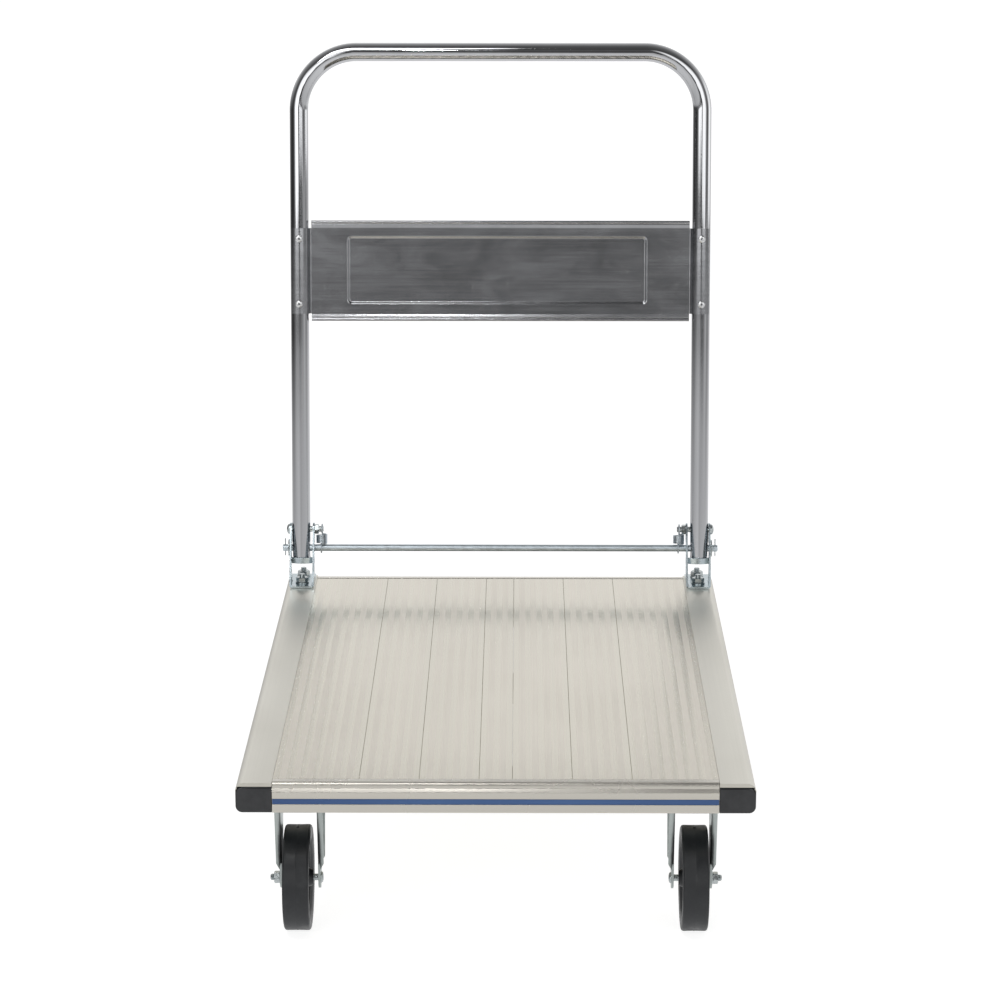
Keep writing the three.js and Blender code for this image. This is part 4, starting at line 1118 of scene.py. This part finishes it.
# The studio's surroundings as the chrome shows them: levels by azimuth, one row for each elevation. Azimuth 0 is
# towards the open front and positive towards +X. Elevation is measured from the plane square to the leaning tubes.
STUDIO = [
    (-60, [(-180, 0.85), (180, 0.85)]),
    (-26, [(-180, 0.95), (-100, 0.62), (-7, 0.85), (-4, 0.75), (4, 0.75), (7, 0.85), (100, 0.7), (180, 0.95)]),
    (-17, [(-180, 1.0), (-100, 0.5), (-7, 0.75), (-4, 0.62), (4, 0.62), (7, 0.75), (100, 0.6), (180, 1.0)]),
    (-7, [(-180, 1.0), (-140, 0.7), (-100, 0.5), (-60, 0.6), (-20, 0.7), (0, 0.5), (20, 0.58), (60, 0.62),
          (100, 0.7), (140, 0.9), (180, 1.05)]),
    (-5.2, [(-180, 1.0), (-160, 0.9), (-140, 0.62), (-120, 0.36), (-100, 0.3), (-80, 0.36), (-60, 0.55),
            (-30, 0.65), (0, 0.5), (20, 0.48), (60, 0.6), (80, 0.46), (100, 0.56), (120, 0.84), (180, 1.05)]),
    (-3.6, [(-180, 0.85), (-160, 0.7), (-140, 0.3), (-120, 0.07), (-100, 0.04), (-80, 0.06), (-60, 0.17),
            (-40, 0.34), (-20, 0.3), (0, 0.14), (20, 0.15), (40, 0.32), (60, 0.57), (80, 0.28), (100, 0.34),
            (120, 0.7), (140, 0.86), (180, 1.0)]),
    (-1.5, [(-180, 0.7), (-160, 0.48), (-140, 0.24), (-120, 0.05), (-100, 0.035), (-80, 0.06), (-60, 0.15),
            (-40, 0.18), (-15, 0.14), (-5, 0.04), (20, 0.04), (40, 0.08), (55, 0.4), (65, 0.5), (80, 0.38),
            (100, 0.34), (120, 0.52), (140, 0.62), (160, 0.8), (180, 0.9)]),
    (-1.1, [(-180, 0.6), (-160, 0.45), (-140, 0.26), (-120, 0.08), (-100, 0.03), (-75, 0.03), (-60, 0.12),
            (-48, 0.8), (-40, 1.8), (-9, 1.8), (-5, 0.05), (5, 0.05), (9, 1.6), (36, 1.6), (48, 0.5), (58, 0.12),
            (72, 0.12), (85, 0.6), (92, 1.5), (112, 1.5), (120, 0.9), (140, 0.7), (160, 0.8), (180, 0.6)]),
    (20, [(-180, 0.98), (-150, 0.85), (-110, 0.4), (-75, 0.1), (-55, 0.12), (-45, 1.5), (-9, 1.6), (-5, 0.12),
          (5, 0.12), (9, 1.5), (38, 1.5), (50, 0.3), (75, 0.15), (90, 1.0), (112, 1.2), (130, 0.85), (180, 0.98)]),
    (32, [(-180, 0.98), (-110, 0.3), (-55, 0.08), (0, 0.07), (55, 0.08), (110, 0.5), (180, 0.98)]),
    (75, [(-180, 0.35), (0, 0.12), (180, 0.35)]),
    (90, [(-180, 0.26), (180, 0.26)]),
]
BRIGHTEST = 4.0  # a colour ramp holds levels up to 1, so they are stored as shares of this


def build_world():
    """Studio surroundings that the glossy parts reflect and that light the rest."""
    world = bpy.data.worlds.new("studio")
    bpy.context.scene.world = world
    world.use_nodes = True
    tree = world.node_tree

    def node(kind, **settings):
        made = tree.nodes.new("ShaderNode" + kind)
        for key, value in settings.items():
            setattr(made, key, value)
        return made

    def compute(operation, *values):
        made = node("Math", operation=operation)
        for socket, value in zip(made.inputs, values):
            if isinstance(value, (int, float)):
                socket.default_value = value
            else:
                tree.links.new(value, socket)
        return made.outputs["Value"]

    def dot(direction, axis):
        made = node("VectorMath", operation="DOT_PRODUCT")
        tree.links.new(direction, made.inputs[0])
        made.inputs[1].default_value = axis
        return made.outputs["Value"]

    direction = node("TexCoord").outputs["Generated"]
    along = (0, math.sin(LEAN), math.cos(LEAN))
    forwards = (0, -math.cos(LEAN), math.sin(LEAN))
    azimuth = compute("ARCTAN2", dot(direction, (1, 0, 0)), dot(direction, forwards))
    place = compute("ADD", compute("DIVIDE", azimuth, 2 * math.pi), 0.5)
    elevation = compute("MULTIPLY", compute("ARCSINE", dot(direction, along)), 180 / math.pi)

    def levels(stops):
        ramp = node("ValToRGB")
        elements = ramp.color_ramp.elements
        for _ in stops[2:]:
            elements.new(0.5)
        for element, (degrees, level) in zip(elements, stops):
            element.position = degrees / 360 + 0.5
            element.color = (level / BRIGHTEST,) * 3 + (1,)
        tree.links.new(place, ramp.inputs["Fac"])
        return ramp.outputs["Color"]

    light = levels(STUDIO[0][1])
    for (low, _), (high, stops) in zip(STUDIO, STUDIO[1:]):
        share = node("MapRange")
        tree.links.new(elevation, share.inputs["Value"])
        share.inputs["From Min"].default_value = low
        share.inputs["From Max"].default_value = high
        blend = node("Mix", data_type="RGBA")
        tree.links.new(share.outputs["Result"], blend.inputs[0])
        tree.links.new(light, blend.inputs[6])
        tree.links.new(levels(stops), blend.inputs[7])
        light = blend.outputs[2]
    background = tree.nodes["Background"]
    tree.links.new(light, background.inputs["Color"])
    background.inputs["Strength"].default_value = BRIGHTEST


def area_light(name, place, target, size, power):
    light = bpy.data.lights.new(name, "AREA")
    light.shape = "RECTANGLE"
    light.size, light.size_y = size
    light.energy = power
    obj = bpy.data.objects.new(name, light)
    obj.location = place
    obj.rotation_euler = (Vector(target) - Vector(place)).to_track_quat("-Z", "Y").to_euler()
    bpy.context.scene.collection.objects.link(obj)


def build_lights():
    middle = (0, 0, 0.3)
    area_light("softbox_above", (-0.9, -1.6, 3.2), middle, (1.6, 1.2), 22)
    area_light("small_spot", (-0.25, -3.4, 2.9), middle, (0.1, 0.1), 4)


def build_camera():
    """Straight in front of the cart, a little above it, with a long lens."""
    camera = bpy.data.cameras.new("camera")
    camera.sensor_width = 36.0
    camera.lens = 118.4
    camera.clip_end = 300.0
    obj = bpy.data.objects.new("camera", camera)
    distance, height, aside = 3.587, 1.439, 0.027
    obj.location = (aside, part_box("front_profile")[0].y - distance, height)
    pitch, yaw = math.radians(90 - 14.1), math.radians(0.35)
    obj.rotation_euler = (pitch, 0, yaw)
    bpy.context.scene.collection.objects.link(obj)
    bpy.context.scene.camera = obj


build_planks()
build_rails()
build_end_profiles()
build_cross_members()
build_handle_tube()
build_panel()
build_release_rod()
for name, direction in SIDES.items():
    build_bracket(name)
    build_bracket_bolts(name)
    build_pivot_bolt(name, direction)
    build_rivets(name, direction)
    build_spring(name, direction)
    build_rigid_caster(name, direction)
    build_swivel_caster(name, direction)

build_floor()
build_world()
build_lights()
build_camera()
bpy.context.scene.view_settings.view_transform = "Standard"
